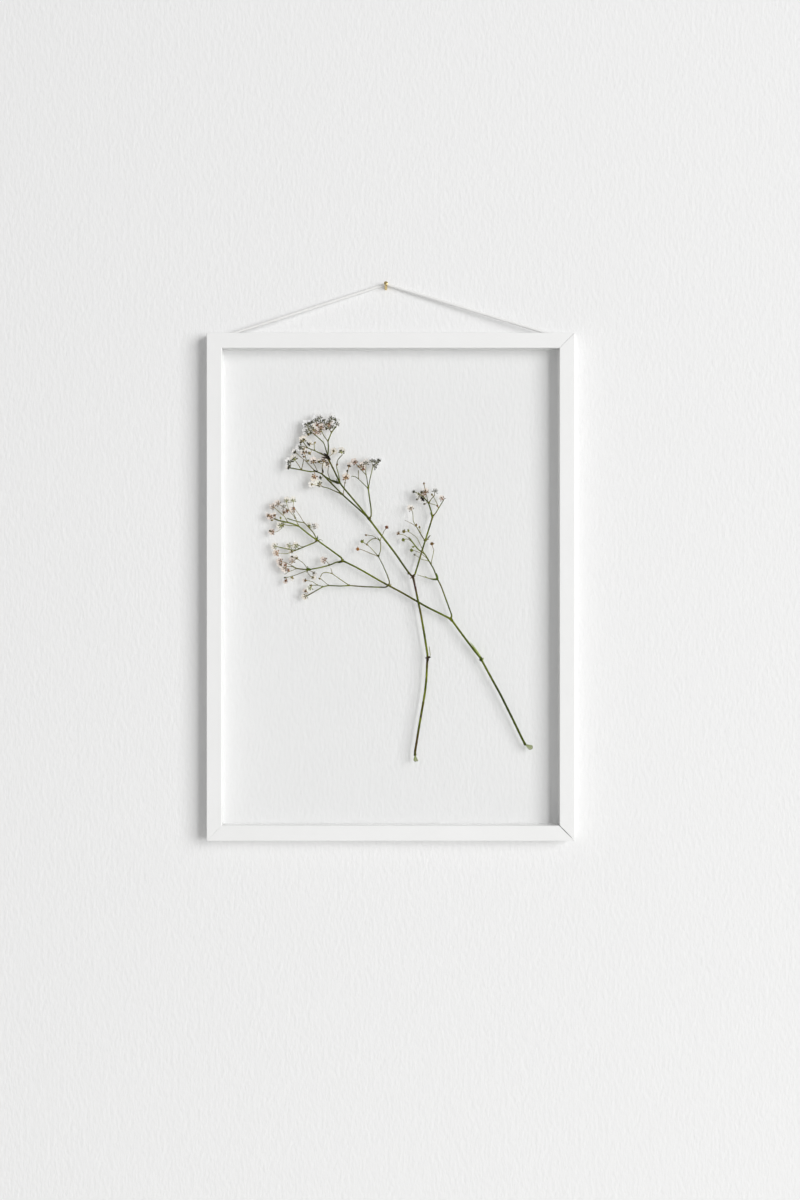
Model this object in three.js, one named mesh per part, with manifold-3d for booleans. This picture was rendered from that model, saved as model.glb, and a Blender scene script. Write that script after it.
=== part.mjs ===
// Pressed flower frame: two dried sprigs of baby's breath pressed between two panes of glass, in a slim
// frame of four mitred bars. One endless elastic band lies in a groove round the outside of the bars,
// draws their mitres together and rises over a brass nail, so that it also hangs the frame.
//
// Millimetres, +Z up, +X to the right and -Y towards a person who faces the frame. The origin is the
// point where the nail enters the wall, and the frame's flat back lies in the wall's plane, Y = 0.

import * as THREE from 'three';
import { mergeVertices } from 'three/addons/utils/BufferGeometryUtils.js';
import Module from 'manifold-3d';

const wasm = await Module();
wasm.setup();

// Opening of the frame, an A4 sheet
const OPENING_WIDTH = 210;
const OPENING_HEIGHT = 297;

// Frame bars, an H section with one groove outside for the band and one inside for the glass
const BAR_FACE = 9.5;
const BAR_DEPTH = 11;
const BAR_EDGE_BREAK = 0.3;
const BAND_GROOVE_DEPTH = 4;
const BAND_GROOVE_WIDTH = 3.4;
const GLAZING_DEPTH = 3.5;
const BAND_TURN_SEGMENTS = 6;
const MITRE_GAP = { bottomLeft: 0.22, bottomRight: 0.7, topRight: 0.3, topLeft: 0.2 };

// Glass and the plants' room between the panes
const PANE_THICKNESS = 2;
const PRESS_GAP = 2.2;
const PANE_CLEARANCE = 0.3;

// Elastic band
const BAND_DIAMETER = 1.8;
const BAND_CLEARANCE = 0.3;
const BAND_TURN_RADIUS = 4;
const BAND_IN_GROOVE_Y = -5.6;
const BAND_ON_NAIL_Y = -1.6;
const BAND_SIDES = 8;
const BAND_TURN_STEP = THREE.MathUtils.degToRad(18);

// Brass nail, its head domed above a rim
const NAIL_DIAMETER = 1.6;
const NAIL_HEAD_DIAMETER = 2.6;
const NAIL_HEAD_HEIGHT = 0.9;
const NAIL_HEAD_CONE = 0.2;
const NAIL_HEAD_RIM = 0.25;
const NAIL_DOME_DIAMETER = 1.8;
const NAIL_DOME_HEIGHT = 0.14;
const NAIL_POINT = 2.4;
const NAIL_OUTSIDE_WALL = 7.4;
const NAIL_IN_WALL = 13;
const NAIL_TILT = THREE.MathUtils.degToRad(20);
const NAIL_SIDES = 12;

// Where the frame hangs, from the nail
const FRAME_CENTRE_X = 3;
const NAIL_ABOVE_FRAME = 29.3;

// Sprigs, pressed flat in two layers, A before B
const SPRIG_THICKNESS = 0.8;
const LAYER_Y = { a: -6.05, b: -4.95 };
const STALK_WIDTH = 0.4;
const STALK_FREE_SHARE = 0.7;

// Flower heads by the radius of their lobes' tips and of the notches between them. The middle of the
// petals lies beyond the calyx, in the direction that the flower faces: partly its twig's, partly its
// stalk's, which counts in full from a length of 1 mm.
const STAR = { lobes: 5, tip: 2.5, notch: 1.7, beyond: 0.9 };
const BLOOM = { lobes: 5, tip: 2.3, notch: 1.6, beyond: 0.3 };
const CUP = { lobes: 4, tip: 1.9, notch: 1.2, beyond: 0.8 };
const BUD = { lobes: 3, tip: 1, notch: 0.8, beyond: 0 };
const TWIG_SHARE_OF_FACING = 0.6;
const FULL_STALK = 1;

// How near to each other points count as one, and how near to a straight edge they are dropped
const MERGE_TOLERANCE = 0.0001;
const JOIN_TOLERANCE = 0.01;

// What follows from them
const FRAME_WIDTH = OPENING_WIDTH + 2 * BAR_FACE;
const FRAME_HEIGHT = OPENING_HEIGHT + 2 * BAR_FACE;
const FRAME_LEFT = FRAME_CENTRE_X - FRAME_WIDTH / 2;
const FRAME_RIGHT = FRAME_CENTRE_X + FRAME_WIDTH / 2;
const FRAME_TOP = -NAIL_ABOVE_FRAME;
const FRAME_BOTTOM = FRAME_TOP - FRAME_HEIGHT;
const FRAME_CENTRE_Z = FRAME_TOP - FRAME_HEIGHT / 2;
const BAND_RADIUS = BAND_DIAMETER / 2;
const BAND_INSET = BAND_GROOVE_DEPTH - BAND_RADIUS - BAND_CLEARANCE;
const GLAZING_WIDTH = 2 * PANE_THICKNESS + PRESS_GAP + 2 * PANE_CLEARANCE;

// The plants. Every point is in millimetres from the middle of the glass, to the right and up. A twig
// is a strip from its first width to its last along its middle line. A head is the place of its calyx
// and its kind.
const SPRIG_A = {
  sprig_a_stem: {
    twigs: [
      {
        from: 1.5, to: 1.3,
        along: [
          [15.7, -108.2], [15.2, -103], [21.4, -65.5], [22.4, -56.7], [23.1, -43], [19, -17.5],
          [14.2, 5.2],
        ],
      },
      { from: 0.7, to: 0.2, along: [[23.1, -44.3], [24.4, -40.8], [24.1, -37.2]] },
    ],
    heads: [],
  },
  sprig_a_left_branch: {
    twigs: [
      { from: 1.2, to: 1.2, along: [[13.6, 6.5], [11.6, 8.4], [3, 20.6], [-12.8, 41.5]] },
      { from: 0.6, to: 0.2, along: [[11.6, 8.4], [10.1, 8.3]] },
    ],
    heads: [],
  },
  sprig_a_left_head: {
    twigs: [
      { from: 1.1, to: 1.0, along: [[-13.6, 42.8], [-31.6, 64.8], [-39.4, 80.9]] },
      { from: 1.0, to: 0.9, along: [[-13.6, 42.8], [-30.2, 57.8], [-42.8, 70.4]] },
      {
        from: 0.6, to: 0.5,
        along: [
          [-31.6, 64.8], [-32.7, 71.5], [-33.9, 74.9], [-33.3, 79.1], [-30.2, 82.5],
        ],
      },
      {
        from: 0.9, to: 0.7,
        along: [
          [-31.6, 64.8], [-35.8, 65.6], [-41.4, 69], [-42.8, 70.4], [-47, 72.4], [-49.8, 72],
          [-62.8, 74.3],
        ],
      },
      { from: 0.6, to: 0.4, along: [[-47, 72.4], [-52.6, 78], [-53.4, 82.1]] },
      { from: 0.5, to: 0.4, along: [[-55.7, 73.2], [-59.1, 78.2]] },
      { from: 0.5, to: 0.4, along: [[-55.7, 73.2], [-54.3, 79.9]] },
      { from: 0.5, to: 0.4, along: [[-42.8, 70.4], [-42.8, 75.7], [-41.7, 78.2]] },
      { from: 0.7, to: 0.5, along: [[-30.2, 57.8], [-39.4, 61.7], [-42.8, 62.6]] },
      { from: 0.5, to: 0.4, along: [[-29.4, 57.8], [-28.7, 64.5]] },
      { from: 0.4, to: 0.4, along: [[-28.7, 64.5], [-27.1, 70.8]] },
      { from: 0.8, to: 0.5, along: [[-39.4, 80.9], [-47.6, 85], [-51.8, 86.6], [-54.9, 91]] },
      { from: 0.5, to: 0.4, along: [[-51.8, 86.6], [-54.9, 88.1], [-56.1, 87.2]] },
      { from: 0.4, to: 0.4, along: [[-47.6, 85], [-47.8, 90.5]] },
      { from: 0.4, to: 0.4, along: [[-52.6, 78], [-58.9, 83.6]] },
      { from: 0.4, to: 0.4, along: [[-45.7, 71.8], [-48.3, 77.3]] },
      { from: 0.4, to: 0.4, along: [[-37.2, 64.5], [-39.4, 70.8], [-38.9, 74.4]] },
    ],
    heads: [
      [-30.7, 84.4, STAR], [-35.7, 84.6, BLOOM], [-33.5, 76.3, BUD], [-63.4, 74.4, CUP],
      [-63.1, 78.1, STAR], [-63.2, 75.7, BUD], [-60.2, 79.8, STAR], [-54, 84, STAR],
      [-54.2, 81.3, BUD], [-59.6, 84, CUP], [-56.5, 87.2, STAR], [-54.7, 91.5, STAR],
      [-56.2, 90.1, BUD], [-48.2, 78.2, STAR], [-41.6, 78.8, STAR], [-44.5, 77.9, CUP],
      [-39.4, 76.7, STAR], [-47.7, 68.7, STAR], [-43.6, 68.2, CUP], [-44.6, 64.2, STAR],
      [-49, 64, BLOOM], [-28, 68, STAR], [-26.1, 75.2, CUP], [-27.1, 72.3, BUD], [-51.6, 78.8, BUD],
      [-47.3, 90, BUD], [-50.5, 83.6, CUP], [-50.2, 89.3, BLOOM], [-54.2, 86.1, BLOOM],
    ],
  },
  sprig_a_crown: {
    twigs: [
      {
        from: 0.8, to: 0.7,
        along: [
          [-39.3, 81.9], [-38.9, 87.5], [-39.2, 90.8], [-36.9, 96.4], [-34, 100.1],
        ],
      },
      { from: 0.7, to: 0.6, along: [[-39.3, 81.9], [-41.7, 90], [-47.1, 94.8]] },
      { from: 0.6, to: 0.5, along: [[-39.2, 90.8], [-41.9, 94.4], [-43.5, 97.9]] },
      { from: 0.5, to: 0.4, along: [[-36.9, 96.4], [-41.2, 102.1]] },
      { from: 0.4, to: 0.4, along: [[-47.1, 94.8], [-50.3, 97.2], [-52, 100.6]] },
      { from: 0.4, to: 0.4, along: [[-43.5, 97.9], [-46.1, 101.8], [-46.8, 104]] },
      { from: 0.4, to: 0.4, along: [[-39.1, 99.6], [-36.8, 105]] },
      { from: 0.4, to: 0.4, along: [[-43.5, 97.9], [-43.3, 101.5], [-44, 104.6]] },
    ],
    heads: [
      [-52.7, 101.4, STAR], [-50.7, 101.9, CUP], [-49.3, 99.9, STAR], [-48.9, 102.9, CUP],
      [-46.8, 104.1, STAR], [-44.7, 105.4, STAR], [-43.6, 103, STAR], [-41.6, 103.8, CUP],
      [-40.9, 101.6, STAR], [-36.9, 105.6, STAR], [-34.8, 104.3, CUP], [-38.1, 103.4, STAR],
      [-33.6, 101.9, STAR], [-48, 98.4, STAR], [-52.5, 97.1, STAR], [-51.1, 95.4, CUP],
      [-49.6, 96.1, CUP], [-46.6, 96.7, STAR], [-43.2, 99.5, STAR], [-44.3, 96.9, STAR],
      [-36.6, 99.9, STAR], [-38.3, 100.9, STAR], [-39.9, 98.9, CUP], [-45.6, 100.8, CUP],
    ],
  },
  sprig_a_middle_spray: {
    twigs: [
      { from: 0.9, to: 0.8, along: [[-12.2, 43.6], [-12.2, 49], [-14, 61.4]] },
      { from: 0.6, to: 0.4, along: [[-14, 61.4], [-21.8, 68.8], [-24.6, 69.1]] },
      { from: 0.6, to: 0.5, along: [[-14, 61.4], [-15.4, 69.8], [-18.2, 72.8]] },
      { from: 0.6, to: 0.5, along: [[-14, 61.4], [-11.1, 75.2]] },
      { from: 0.4, to: 0.4, along: [[-18.2, 72.8], [-21.5, 76.5]] },
      { from: 0.4, to: 0.4, along: [[-15.4, 69.8], [-15.5, 74.8]] },
      { from: 0.4, to: 0.4, along: [[-20.2, 67.4], [-20.2, 72.9]] },
    ],
    heads: [
      [-22.3, 77.7, STAR], [-20.1, 75.1, BUD], [-18.2, 75.4, STAR], [-15.4, 77.3, STAR],
      [-17.2, 73.2, CUP], [-11.7, 78.8, STAR], [-8.8, 77.9, STAR], [-7.3, 78.8, CUP],
      [-9.7, 75.1, STAR],
    ],
  },
  sprig_a_right_branch: {
    twigs: [
      { from: 1.1, to: 1.0, along: [[15, 7.3], [26, 43.2]] },
      { from: 0.6, to: 0.3, along: [[21.6, 28.6], [23.1, 29.5], [24.8, 32.2]] },
      { from: 0.7, to: 0.5, along: [[21.6, 28.6], [15.9, 37.9]] },
      { from: 0.4, to: 0.4, along: [[15.9, 37.9], [14.1, 40.8], [13.9, 45.7], [13.1, 48]] },
      { from: 0.4, to: 0.2, along: [[15.9, 37.9], [8.7, 41.8]] },
      { from: 0.4, to: 0.3, along: [[18.6, 33.4], [18.1, 36.8]] },
    ],
    heads: [
      [12.6, 48.8, STAR], [16, 38.7, BUD], [18, 37.2, BUD],
    ],
  },
  sprig_a_right_head: {
    twigs: [
      { from: 0.9, to: 0.8, along: [[26.2, 44.2], [23.6, 52.2], [19.9, 56.7]] },
      { from: 0.7, to: 0.5, along: [[26.2, 44.2], [27.7, 45.5], [33.2, 54.5]] },
      { from: 0.6, to: 0.5, along: [[23.6, 52.2], [27.4, 57.2]] },
      { from: 0.4, to: 0.4, along: [[23.6, 52.2], [20.8, 63.8]] },
      { from: 0.4, to: 0.3, along: [[23.6, 52.2], [29, 50.8]] },
      { from: 0.4, to: 0.3, along: [[29.7, 49.1], [29.2, 51.1], [26.9, 56]] },
      { from: 0.4, to: 0.4, along: [[19.9, 56.7], [14.9, 59.4]] },
    ],
    heads: [
      [19.6, 55.1, STAR], [17.9, 57.4, STAR], [19.4, 58.9, CUP], [21, 57.8, STAR], [22, 59.5, STAR],
      [14.7, 59.3, CUP], [16.4, 54.6, BUD], [21.1, 51.8, BUD], [27.8, 59.8, STAR], [25.8, 57.6, BUD],
      [20.8, 64.5, BUD], [32, 55.2, STAR], [29.2, 50.5, BUD],
    ],
  },
};

const SPRIG_B = {
  sprig_b_stem: {
    twigs: [
      {
        from: 1.6, to: 1.4,
        along: [
          [86.8, -99.8], [83.4, -97.2], [68.7, -67.3], [56, -44.3], [52.5, -40.2], [38.4, -21.1],
        ],
      },
      { from: 0.7, to: 0.3, along: [[55.3, -43.7], [52.1, -37.9], [49.5, -34.5]] },
    ],
    heads: [],
  },
  sprig_b_upper_branch: {
    twigs: [
      {
        from: 1.0, to: 0.9,
        along: [
          [38.4, -18.5], [31.4, 0.9], [29.2, 5], [27, 11.1], [21.3, 20.6], [17.1, 23.4],
          [11.8, 30.3],
        ],
      },
      { from: 0.5, to: 0.4, along: [[25.2, 14.4], [27, 23.3]] },
      { from: 0.7, to: 0.3, along: [[29.2, 5], [24.3, 5], [16.7, 7.5]] },
      { from: 0.4, to: 0.3, along: [[13.4, 28.2], [10.2, 30.3], [8, 29.7]] },
      { from: 0.4, to: 0.3, along: [[11.8, 30.3], [8.1, 32.5], [5.5, 32.9]] },
      { from: 0.4, to: 0.3, along: [[23.2, 17.2], [18.5, 21.6], [13.6, 23.1]] },
      { from: 0.4, to: 0.3, along: [[21.3, 20.6], [16.2, 30.9], [11.2, 34.5], [8.6, 34.4]] },
      { from: 0.4, to: 0.3, along: [[24, 16.4], [19.2, 17], [15.5, 19.8]] },
    ],
    heads: [
      [5, 33.3, CUP], [8.4, 34.6, STAR], [11.1, 35.3, BUD], [8, 29.5, STAR], [13.2, 22.9, STAR],
      [14.1, 25.1, BUD], [15, 20.1, BUD], [25.8, 26.8, STAR],
    ],
  },
  sprig_b_main_branch: {
    twigs: [
      { from: 1.4, to: 1.2, along: [[37.3, -19.9], [23.8, -13.1], [-22.2, 12.6], [-29.2, 16]] },
    ],
    heads: [],
  },
  sprig_b_middle_spray: {
    twigs: [
      { from: 0.8, to: 0.6, along: [[-0.5, 2.4], [-2.2, 7.8], [-4.6, 13.4], [-7.8, 19.2]] },
      {
        from: 0.6, to: 0.5,
        along: [
          [-7.8, 19.2], [-6.6, 21.8], [-6.2, 25.8], [-6.6, 29], [-9, 30.4], [-12, 29.8],
          [-14.6, 27.4],
        ],
      },
      { from: 0.4, to: 0.4, along: [[-6.6, 29], [-4.2, 35], [-2.9, 36.6]] },
      { from: 0.4, to: 0.4, along: [[-9, 30.4], [-11, 31.9], [-14.7, 32.4]] },
      { from: 0.5, to: 0.4, along: [[-7.8, 19.2], [-14.2, 25.8], [-17.1, 27.8]] },
      { from: 0.5, to: 0.4, along: [[-7.8, 19.2], [-19, 23.6]] },
    ],
    heads: [
      [-14.8, 26.5, BUD], [-15.4, 32.4, BUD], [-2.6, 37.1, STAR], [-17.7, 28.3, STAR],
      [-20.4, 23.6, STAR],
    ],
  },
  sprig_b_lower_spray: {
    twigs: [
      {
        from: 0.9, to: 0.7,
        along: [
          [-2.6, -0.3], [-15.8, 0], [-25.8, 1], [-31.8, 0.6], [-38.7, 0.8], [-42.3, 0.1],
          [-52.5, -5.7],
        ],
      },
      { from: 0.5, to: 0.4, along: [[-42.3, 0.1], [-45.5, 1.1], [-49.2, 1]] },
      { from: 0.4, to: 0.3, along: [[-45.5, 1.1], [-49, 3.6], [-52.5, 4]] },
      { from: 0.4, to: 0.4, along: [[-38.7, 0.8], [-43.6, 5]] },
      { from: 0.6, to: 0.5, along: [[-25.8, 1], [-36.6, 8.3], [-40.4, 9.1], [-42.8, 8.6], [-44, 6.2]] },
      { from: 0.4, to: 0.3, along: [[-36.6, 8.3], [-37.4, 11.6]] },
    ],
    heads: [
      [-49.7, 1, BUD], [-50.5, -0.7, STAR], [-53.1, 4, CUP], [-53.2, -5.8, STAR], [-53, -2.8, CUP],
      [-44.4, 5.2, BUD],
    ],
  },
  sprig_b_left_spray: {
    twigs: [
      {
        from: 1.0, to: 0.8,
        along: [
          [-30.4, 16.1], [-34, 15.5], [-38.4, 13.5], [-44.2, 11.9], [-51.5, 10.7], [-58.9, 11.5],
          [-61.4, 12.9],
        ],
      },
      { from: 0.5, to: 0.4, along: [[-51.5, 10.7], [-53.8, 9.4], [-59.8, 7.2], [-65.4, 5.8]] },
      { from: 0.5, to: 0.4, along: [[-51.5, 10.7], [-54.4, 14.5], [-59.6, 18.3]] },
      { from: 0.4, to: 0.3, along: [[-51.5, 10.7], [-52.2, 9.1], [-49.7, 6.2]] },
      { from: 0.4, to: 0.3, along: [[-58.9, 11.5], [-64.6, 9.1], [-66.3, 7.8]] },
      { from: 0.4, to: 0.3, along: [[-61.4, 12.9], [-65.6, 15.1], [-68.4, 15.9]] },
      { from: 0.4, to: 0.3, along: [[-38.3, 13.6], [-39.6, 15.9], [-41.1, 16.6]] },
      { from: 0.4, to: 0.3, along: [[-51.5, 10.7], [-48.6, 9.3]] },
      { from: 0.4, to: 0.3, along: [[-61.4, 12.9], [-65.4, 12.7]] },
    ],
    heads: [
      [-68.8, 16, STAR], [-68.5, 14.1, CUP], [-65.6, 13.6, CUP], [-66, 11.6, STAR], [-66, 5.8, BUD],
      [-65.4, 4.1, CUP], [-61.5, 6, CUP], [-61.6, 16.1, STAR], [-61.6, 18.9, BUD], [-58.6, 17.7, CUP],
      [-49, 6.1, CUP], [-48.3, 8.8, CUP], [-41.4, 16.7, STAR], [-63.8, 10.2, CUP],
    ],
  },
  sprig_b_corner_spray: {
    twigs: [
      { from: 0.9, to: 0.6, along: [[-47.2, 27.8], [-59, 23], [-62.3, 23.3], [-71.3, 25.2]] },
      { from: 0.5, to: 0.3, along: [[-59, 23], [-63.2, 21.3], [-66, 20.7], [-70.3, 21.1]] },
      { from: 0.4, to: 0.3, along: [[-57.2, 23.8], [-58.6, 24.8]] },
      { from: 0.4, to: 0.3, along: [[-54.9, 24.9], [-59.1, 26.8], [-62.8, 25.6]] },
    ],
    heads: [
      [-72.2, 25.4, STAR], [-71, 21.1, STAR], [-63.5, 25.4, STAR], [-59, 25.5, STAR],
      [-61.5, 22.1, CUP],
    ],
  },
  sprig_b_top_head: {
    twigs: [
      {
        from: 1.2, to: 0.9,
        along: [
          [-30.3, 17.9], [-51.7, 33.3], [-57.6, 38.1], [-63.5, 40.1], [-69.7, 41.4], [-72.7, 42.6],
        ],
      },
      {
        from: 0.8, to: 0.6,
        along: [
          [-45.8, 29], [-48.3, 33.9], [-54, 40.1], [-56.7, 40.3], [-64.6, 42.8],
        ],
      },
      { from: 0.5, to: 0.2, along: [[-45.2, 28.8], [-43.9, 30.2], [-42.4, 28.5]] },
      { from: 0.5, to: 0.4, along: [[-57.6, 38.1], [-67.1, 38.9]] },
      { from: 0.4, to: 0.3, along: [[-67.1, 38.9], [-68.5, 36.4], [-71.6, 34.2], [-74, 34.5]] },
      { from: 0.5, to: 0.4, along: [[-57.6, 38.1], [-61, 46.6]] },
      { from: 0.4, to: 0.3, along: [[-54, 40.1], [-61, 50.5]] },
      { from: 0.5, to: 0.4, along: [[-64.6, 41.1], [-66.3, 44], [-72.2, 49.1]] },
      { from: 0.4, to: 0.3, along: [[-63.9, 48], [-69.9, 51.7]] },
      { from: 0.4, to: 0.3, along: [[-59.6, 42.6], [-63.9, 48], [-65.3, 53]] },
      { from: 0.4, to: 0.3, along: [[-51.2, 37], [-48.3, 37.6]] },
    ],
    heads: [
      [-74.6, 43.5, STAR], [-76.2, 44.6, CUP], [-72.5, 44.5, CUP], [-74.2, 41.7, BUD],
      [-67.2, 39.1, STAR], [-69, 38.2, STAR], [-73.7, 34.4, STAR], [-75.4, 35, BUD],
      [-60.8, 48.2, STAR], [-73.4, 49.9, STAR], [-70.4, 52.1, STAR], [-67.1, 50, STAR],
      [-65, 53.9, STAR], [-61.1, 54, STAR], [-64.6, 47.5, CUP], [-66.7, 46.2, CUP], [-68.8, 43.1, BUD],
      [-47.6, 37.8, STAR], [-51.1, 37.9, CUP], [-60.5, 49.1, BUD],
    ],
  },
};

// Frame: painted aluminium. Band: rubber. Sprigs: dried stems and flowers.
const MATERIALS = {
  bar: new THREE.MeshStandardMaterial({ color: '#f1f1f0', roughness: 0.45, metalness: 0 }),
  glass: new THREE.MeshStandardMaterial({
    color: '#f4f7f6', roughness: 0.02, metalness: 0, transparent: true, opacity: 0.12,
  }),
  band: new THREE.MeshStandardMaterial({ color: '#dcdbd8', roughness: 0.7, metalness: 0 }),
  nail: new THREE.MeshStandardMaterial({ color: '#c9a25a', roughness: 0.3, metalness: 1 }),
  stem: new THREE.MeshStandardMaterial({ color: '#5c6b35', roughness: 0.75, metalness: 0 }),
  spray: new THREE.MeshStandardMaterial({ color: '#77704f', roughness: 0.8, metalness: 0 }),
};

// A closed geometry as a solid that can be joined and cut
function toSolid(geometry) {
  const bare = geometry.clone();
  bare.deleteAttribute('normal');
  bare.deleteAttribute('uv');
  const merged = mergeVertices(bare, MERGE_TOLERANCE);
  return new wasm.Manifold(new wasm.Mesh({
    numProp: 3,
    vertProperties: new Float32Array(merged.attributes.position.array),
    triVerts: new Uint32Array(merged.index.array),
  }));
}

// A solid as a geometry again
function toGeometry(solid) {
  const mesh = solid.getMesh();
  const geometry = new THREE.BufferGeometry();
  geometry.setAttribute('position', new THREE.BufferAttribute(mesh.vertProperties, 3));
  geometry.setIndex(new THREE.BufferAttribute(mesh.triVerts, 1));
  geometry.computeVertexNormals();
  return geometry;
}

// An outline in the frame's plane, drawn to the right and up, as a plate of a thickness about Y = 0
function plate(outline, thickness) {
  const geometry = new THREE.ExtrudeGeometry(outline, { depth: thickness, bevelEnabled: false });
  geometry.rotateX(Math.PI / 2);
  geometry.translate(0, thickness / 2, 0);
  return geometry;
}

function named(name, geometry, material) {
  const mesh = new THREE.Mesh(geometry, material);
  mesh.name = name;
  return mesh;
}

// The bars' section: across from the outer edge to the opening, and up from the back to the front
function barSection() {
  const bandBack = (BAR_DEPTH - BAND_GROOVE_WIDTH) / 2;
  const bandFront = (BAR_DEPTH + BAND_GROOVE_WIDTH) / 2;
  const glazingBack = (BAR_DEPTH - GLAZING_WIDTH) / 2;
  const glazingFront = (BAR_DEPTH + GLAZING_WIDTH) / 2;
  const web = BAR_FACE - GLAZING_DEPTH;
  return new THREE.Shape([
    new THREE.Vector2(BAR_EDGE_BREAK, 0),
    new THREE.Vector2(BAR_FACE - BAR_EDGE_BREAK, 0),
    new THREE.Vector2(BAR_FACE, BAR_EDGE_BREAK),
    new THREE.Vector2(BAR_FACE, glazingBack),
    new THREE.Vector2(web, glazingBack),
    new THREE.Vector2(web, glazingFront),
    new THREE.Vector2(BAR_FACE, glazingFront),
    new THREE.Vector2(BAR_FACE, BAR_DEPTH - BAR_EDGE_BREAK),
    new THREE.Vector2(BAR_FACE - BAR_EDGE_BREAK, BAR_DEPTH),
    new THREE.Vector2(BAR_EDGE_BREAK, BAR_DEPTH),
    new THREE.Vector2(0, BAR_DEPTH - BAR_EDGE_BREAK),
    new THREE.Vector2(0, bandFront),
    new THREE.Vector2(BAND_GROOVE_DEPTH, bandFront),
    new THREE.Vector2(BAND_GROOVE_DEPTH, bandBack),
    new THREE.Vector2(0, bandBack),
    new THREE.Vector2(0, BAR_EDGE_BREAK),
  ]);
}

// What is cut from the band groove's floor at a corner, so that the band turns on a round. It is drawn
// for the frame's lower left corner, with that corner at the origin.
function roundedTurn() {
  const centre = BAND_INSET + BAND_TURN_RADIUS;
  const radius = centre - BAND_GROOVE_DEPTH;
  const open = BAND_GROOVE_DEPTH - BAND_CLEARANCE;
  const outline = new THREE.Shape();
  outline.moveTo(open, open);
  outline.lineTo(centre, open);
  outline.lineTo(centre, BAND_GROOVE_DEPTH);
  outline.absarc(centre, centre, radius, -Math.PI / 2, -Math.PI, true);
  outline.lineTo(open, centre);
  const turn = new THREE.ExtrudeGeometry(outline, {
    depth: BAND_GROOVE_WIDTH, bevelEnabled: false, curveSegments: BAND_TURN_SEGMENTS,
  });
  turn.rotateX(Math.PI / 2);
  turn.translate(0, (BAND_GROOVE_WIDTH - BAR_DEPTH) / 2, 0);
  return turn;
}

// One bar along +X from its outer corner at the origin, with its opening side up. Both ends are mitred
// by moving each end's points along the bar by their distance from the outer edge.
function barGeometry(length, startGap, endGap) {
  const bar = new THREE.ExtrudeGeometry(barSection(), { depth: length, bevelEnabled: false });
  const points = bar.attributes.position;
  for (let i = 0; i < points.count; i += 1) {
    const inward = points.getX(i);
    const atStart = points.getZ(i) < length / 2;
    points.setZ(i, atStart ? inward + startGap : length - inward - endGap);
  }
  const alongX = new THREE.Vector3(1, 0, 0);
  const inwardZ = new THREE.Vector3(0, 0, 1);
  const frontMinusY = new THREE.Vector3(0, -1, 0);
  bar.applyMatrix4(new THREE.Matrix4().makeBasis(inwardZ, frontMinusY, alongX));
  const startTurn = toSolid(roundedTurn());
  const endTurn = startTurn.mirror([1, 0, 0]).translate([length, 0, 0]);
  return toGeometry(toSolid(bar).subtract(startTurn).subtract(endTurn));
}

// The four bars follow each other round the frame, each a quarter turn on from the last
function buildBars() {
  const corners = [
    { name: 'bottomLeft', x: FRAME_LEFT, z: FRAME_BOTTOM },
    { name: 'bottomRight', x: FRAME_RIGHT, z: FRAME_BOTTOM },
    { name: 'topRight', x: FRAME_RIGHT, z: FRAME_TOP },
    { name: 'topLeft', x: FRAME_LEFT, z: FRAME_TOP },
  ];
  return ['bar_bottom', 'bar_right', 'bar_top', 'bar_left'].map((name, turn) => {
    const start = corners[turn];
    const end = corners[(turn + 1) % corners.length];
    const length = Math.hypot(end.x - start.x, end.z - start.z);
    const bar = named(name, barGeometry(length, MITRE_GAP[start.name], MITRE_GAP[end.name]), MATERIALS.bar);
    bar.position.set(start.x, 0, start.z);
    bar.rotation.y = -turn * Math.PI / 2;
    return bar;
  });
}

// Both panes reach into the bars' inner groove, with the plants' room between them
function buildPanes() {
  const reach = 2 * (GLAZING_DEPTH - PANE_CLEARANCE);
  const offset = (PRESS_GAP + PANE_THICKNESS) / 2;
  return [['pane_front', -offset], ['pane_back', offset]].map(([name, y]) => {
    const geometry = new THREE.BoxGeometry(OPENING_WIDTH + reach, PANE_THICKNESS, OPENING_HEIGHT + reach);
    const pane = named(name, geometry, MATERIALS.glass);
    pane.position.set(FRAME_CENTRE_X, y - BAR_DEPTH / 2, FRAME_CENTRE_Z);
    return pane;
  });
}

// The band's middle line through a closed list of points, taken one step to each point
class BandRoute extends THREE.Curve {
  constructor(points) {
    super();
    this.points = points;
  }

  getPoint(t, target = new THREE.Vector3()) {
    const count = this.points.length;
    const at = THREE.MathUtils.clamp(t, 0, 1) * count;
    const step = Math.min(Math.floor(at), count - 1);
    return target.lerpVectors(this.points[step], this.points[(step + 1) % count], at - step);
  }

  getUtoTmapping(u) {
    return u;
  }
}

// The rounds that the band passes, anticlockwise from the lower left, each with its own depth
function bandRounds() {
  const inset = BAND_INSET + BAND_TURN_RADIUS;
  const corner = (x, z) => ({ x, z, y: BAND_IN_GROOVE_Y, radius: BAND_TURN_RADIUS });
  return [
    corner(FRAME_LEFT + inset, FRAME_BOTTOM + inset),
    corner(FRAME_RIGHT - inset, FRAME_BOTTOM + inset),
    corner(FRAME_RIGHT - inset, FRAME_TOP - inset),
    {
      x: 0,
      z: -BAND_ON_NAIL_Y * Math.tan(NAIL_TILT),
      y: BAND_ON_NAIL_Y,
      radius: NAIL_DIAMETER / 2 + BAND_RADIUS + BAND_CLEARANCE,
    },
    corner(FRAME_LEFT + inset, FRAME_TOP - inset),
  ];
}

// The angle at which the band leaves one round for the next
function leavingAngle(round, next) {
  const heading = Math.atan2(next.z - round.z, next.x - round.x);
  const apart = Math.hypot(next.x - round.x, next.z - round.z);
  return heading - Math.acos((round.radius - next.radius) / apart);
}

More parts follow.
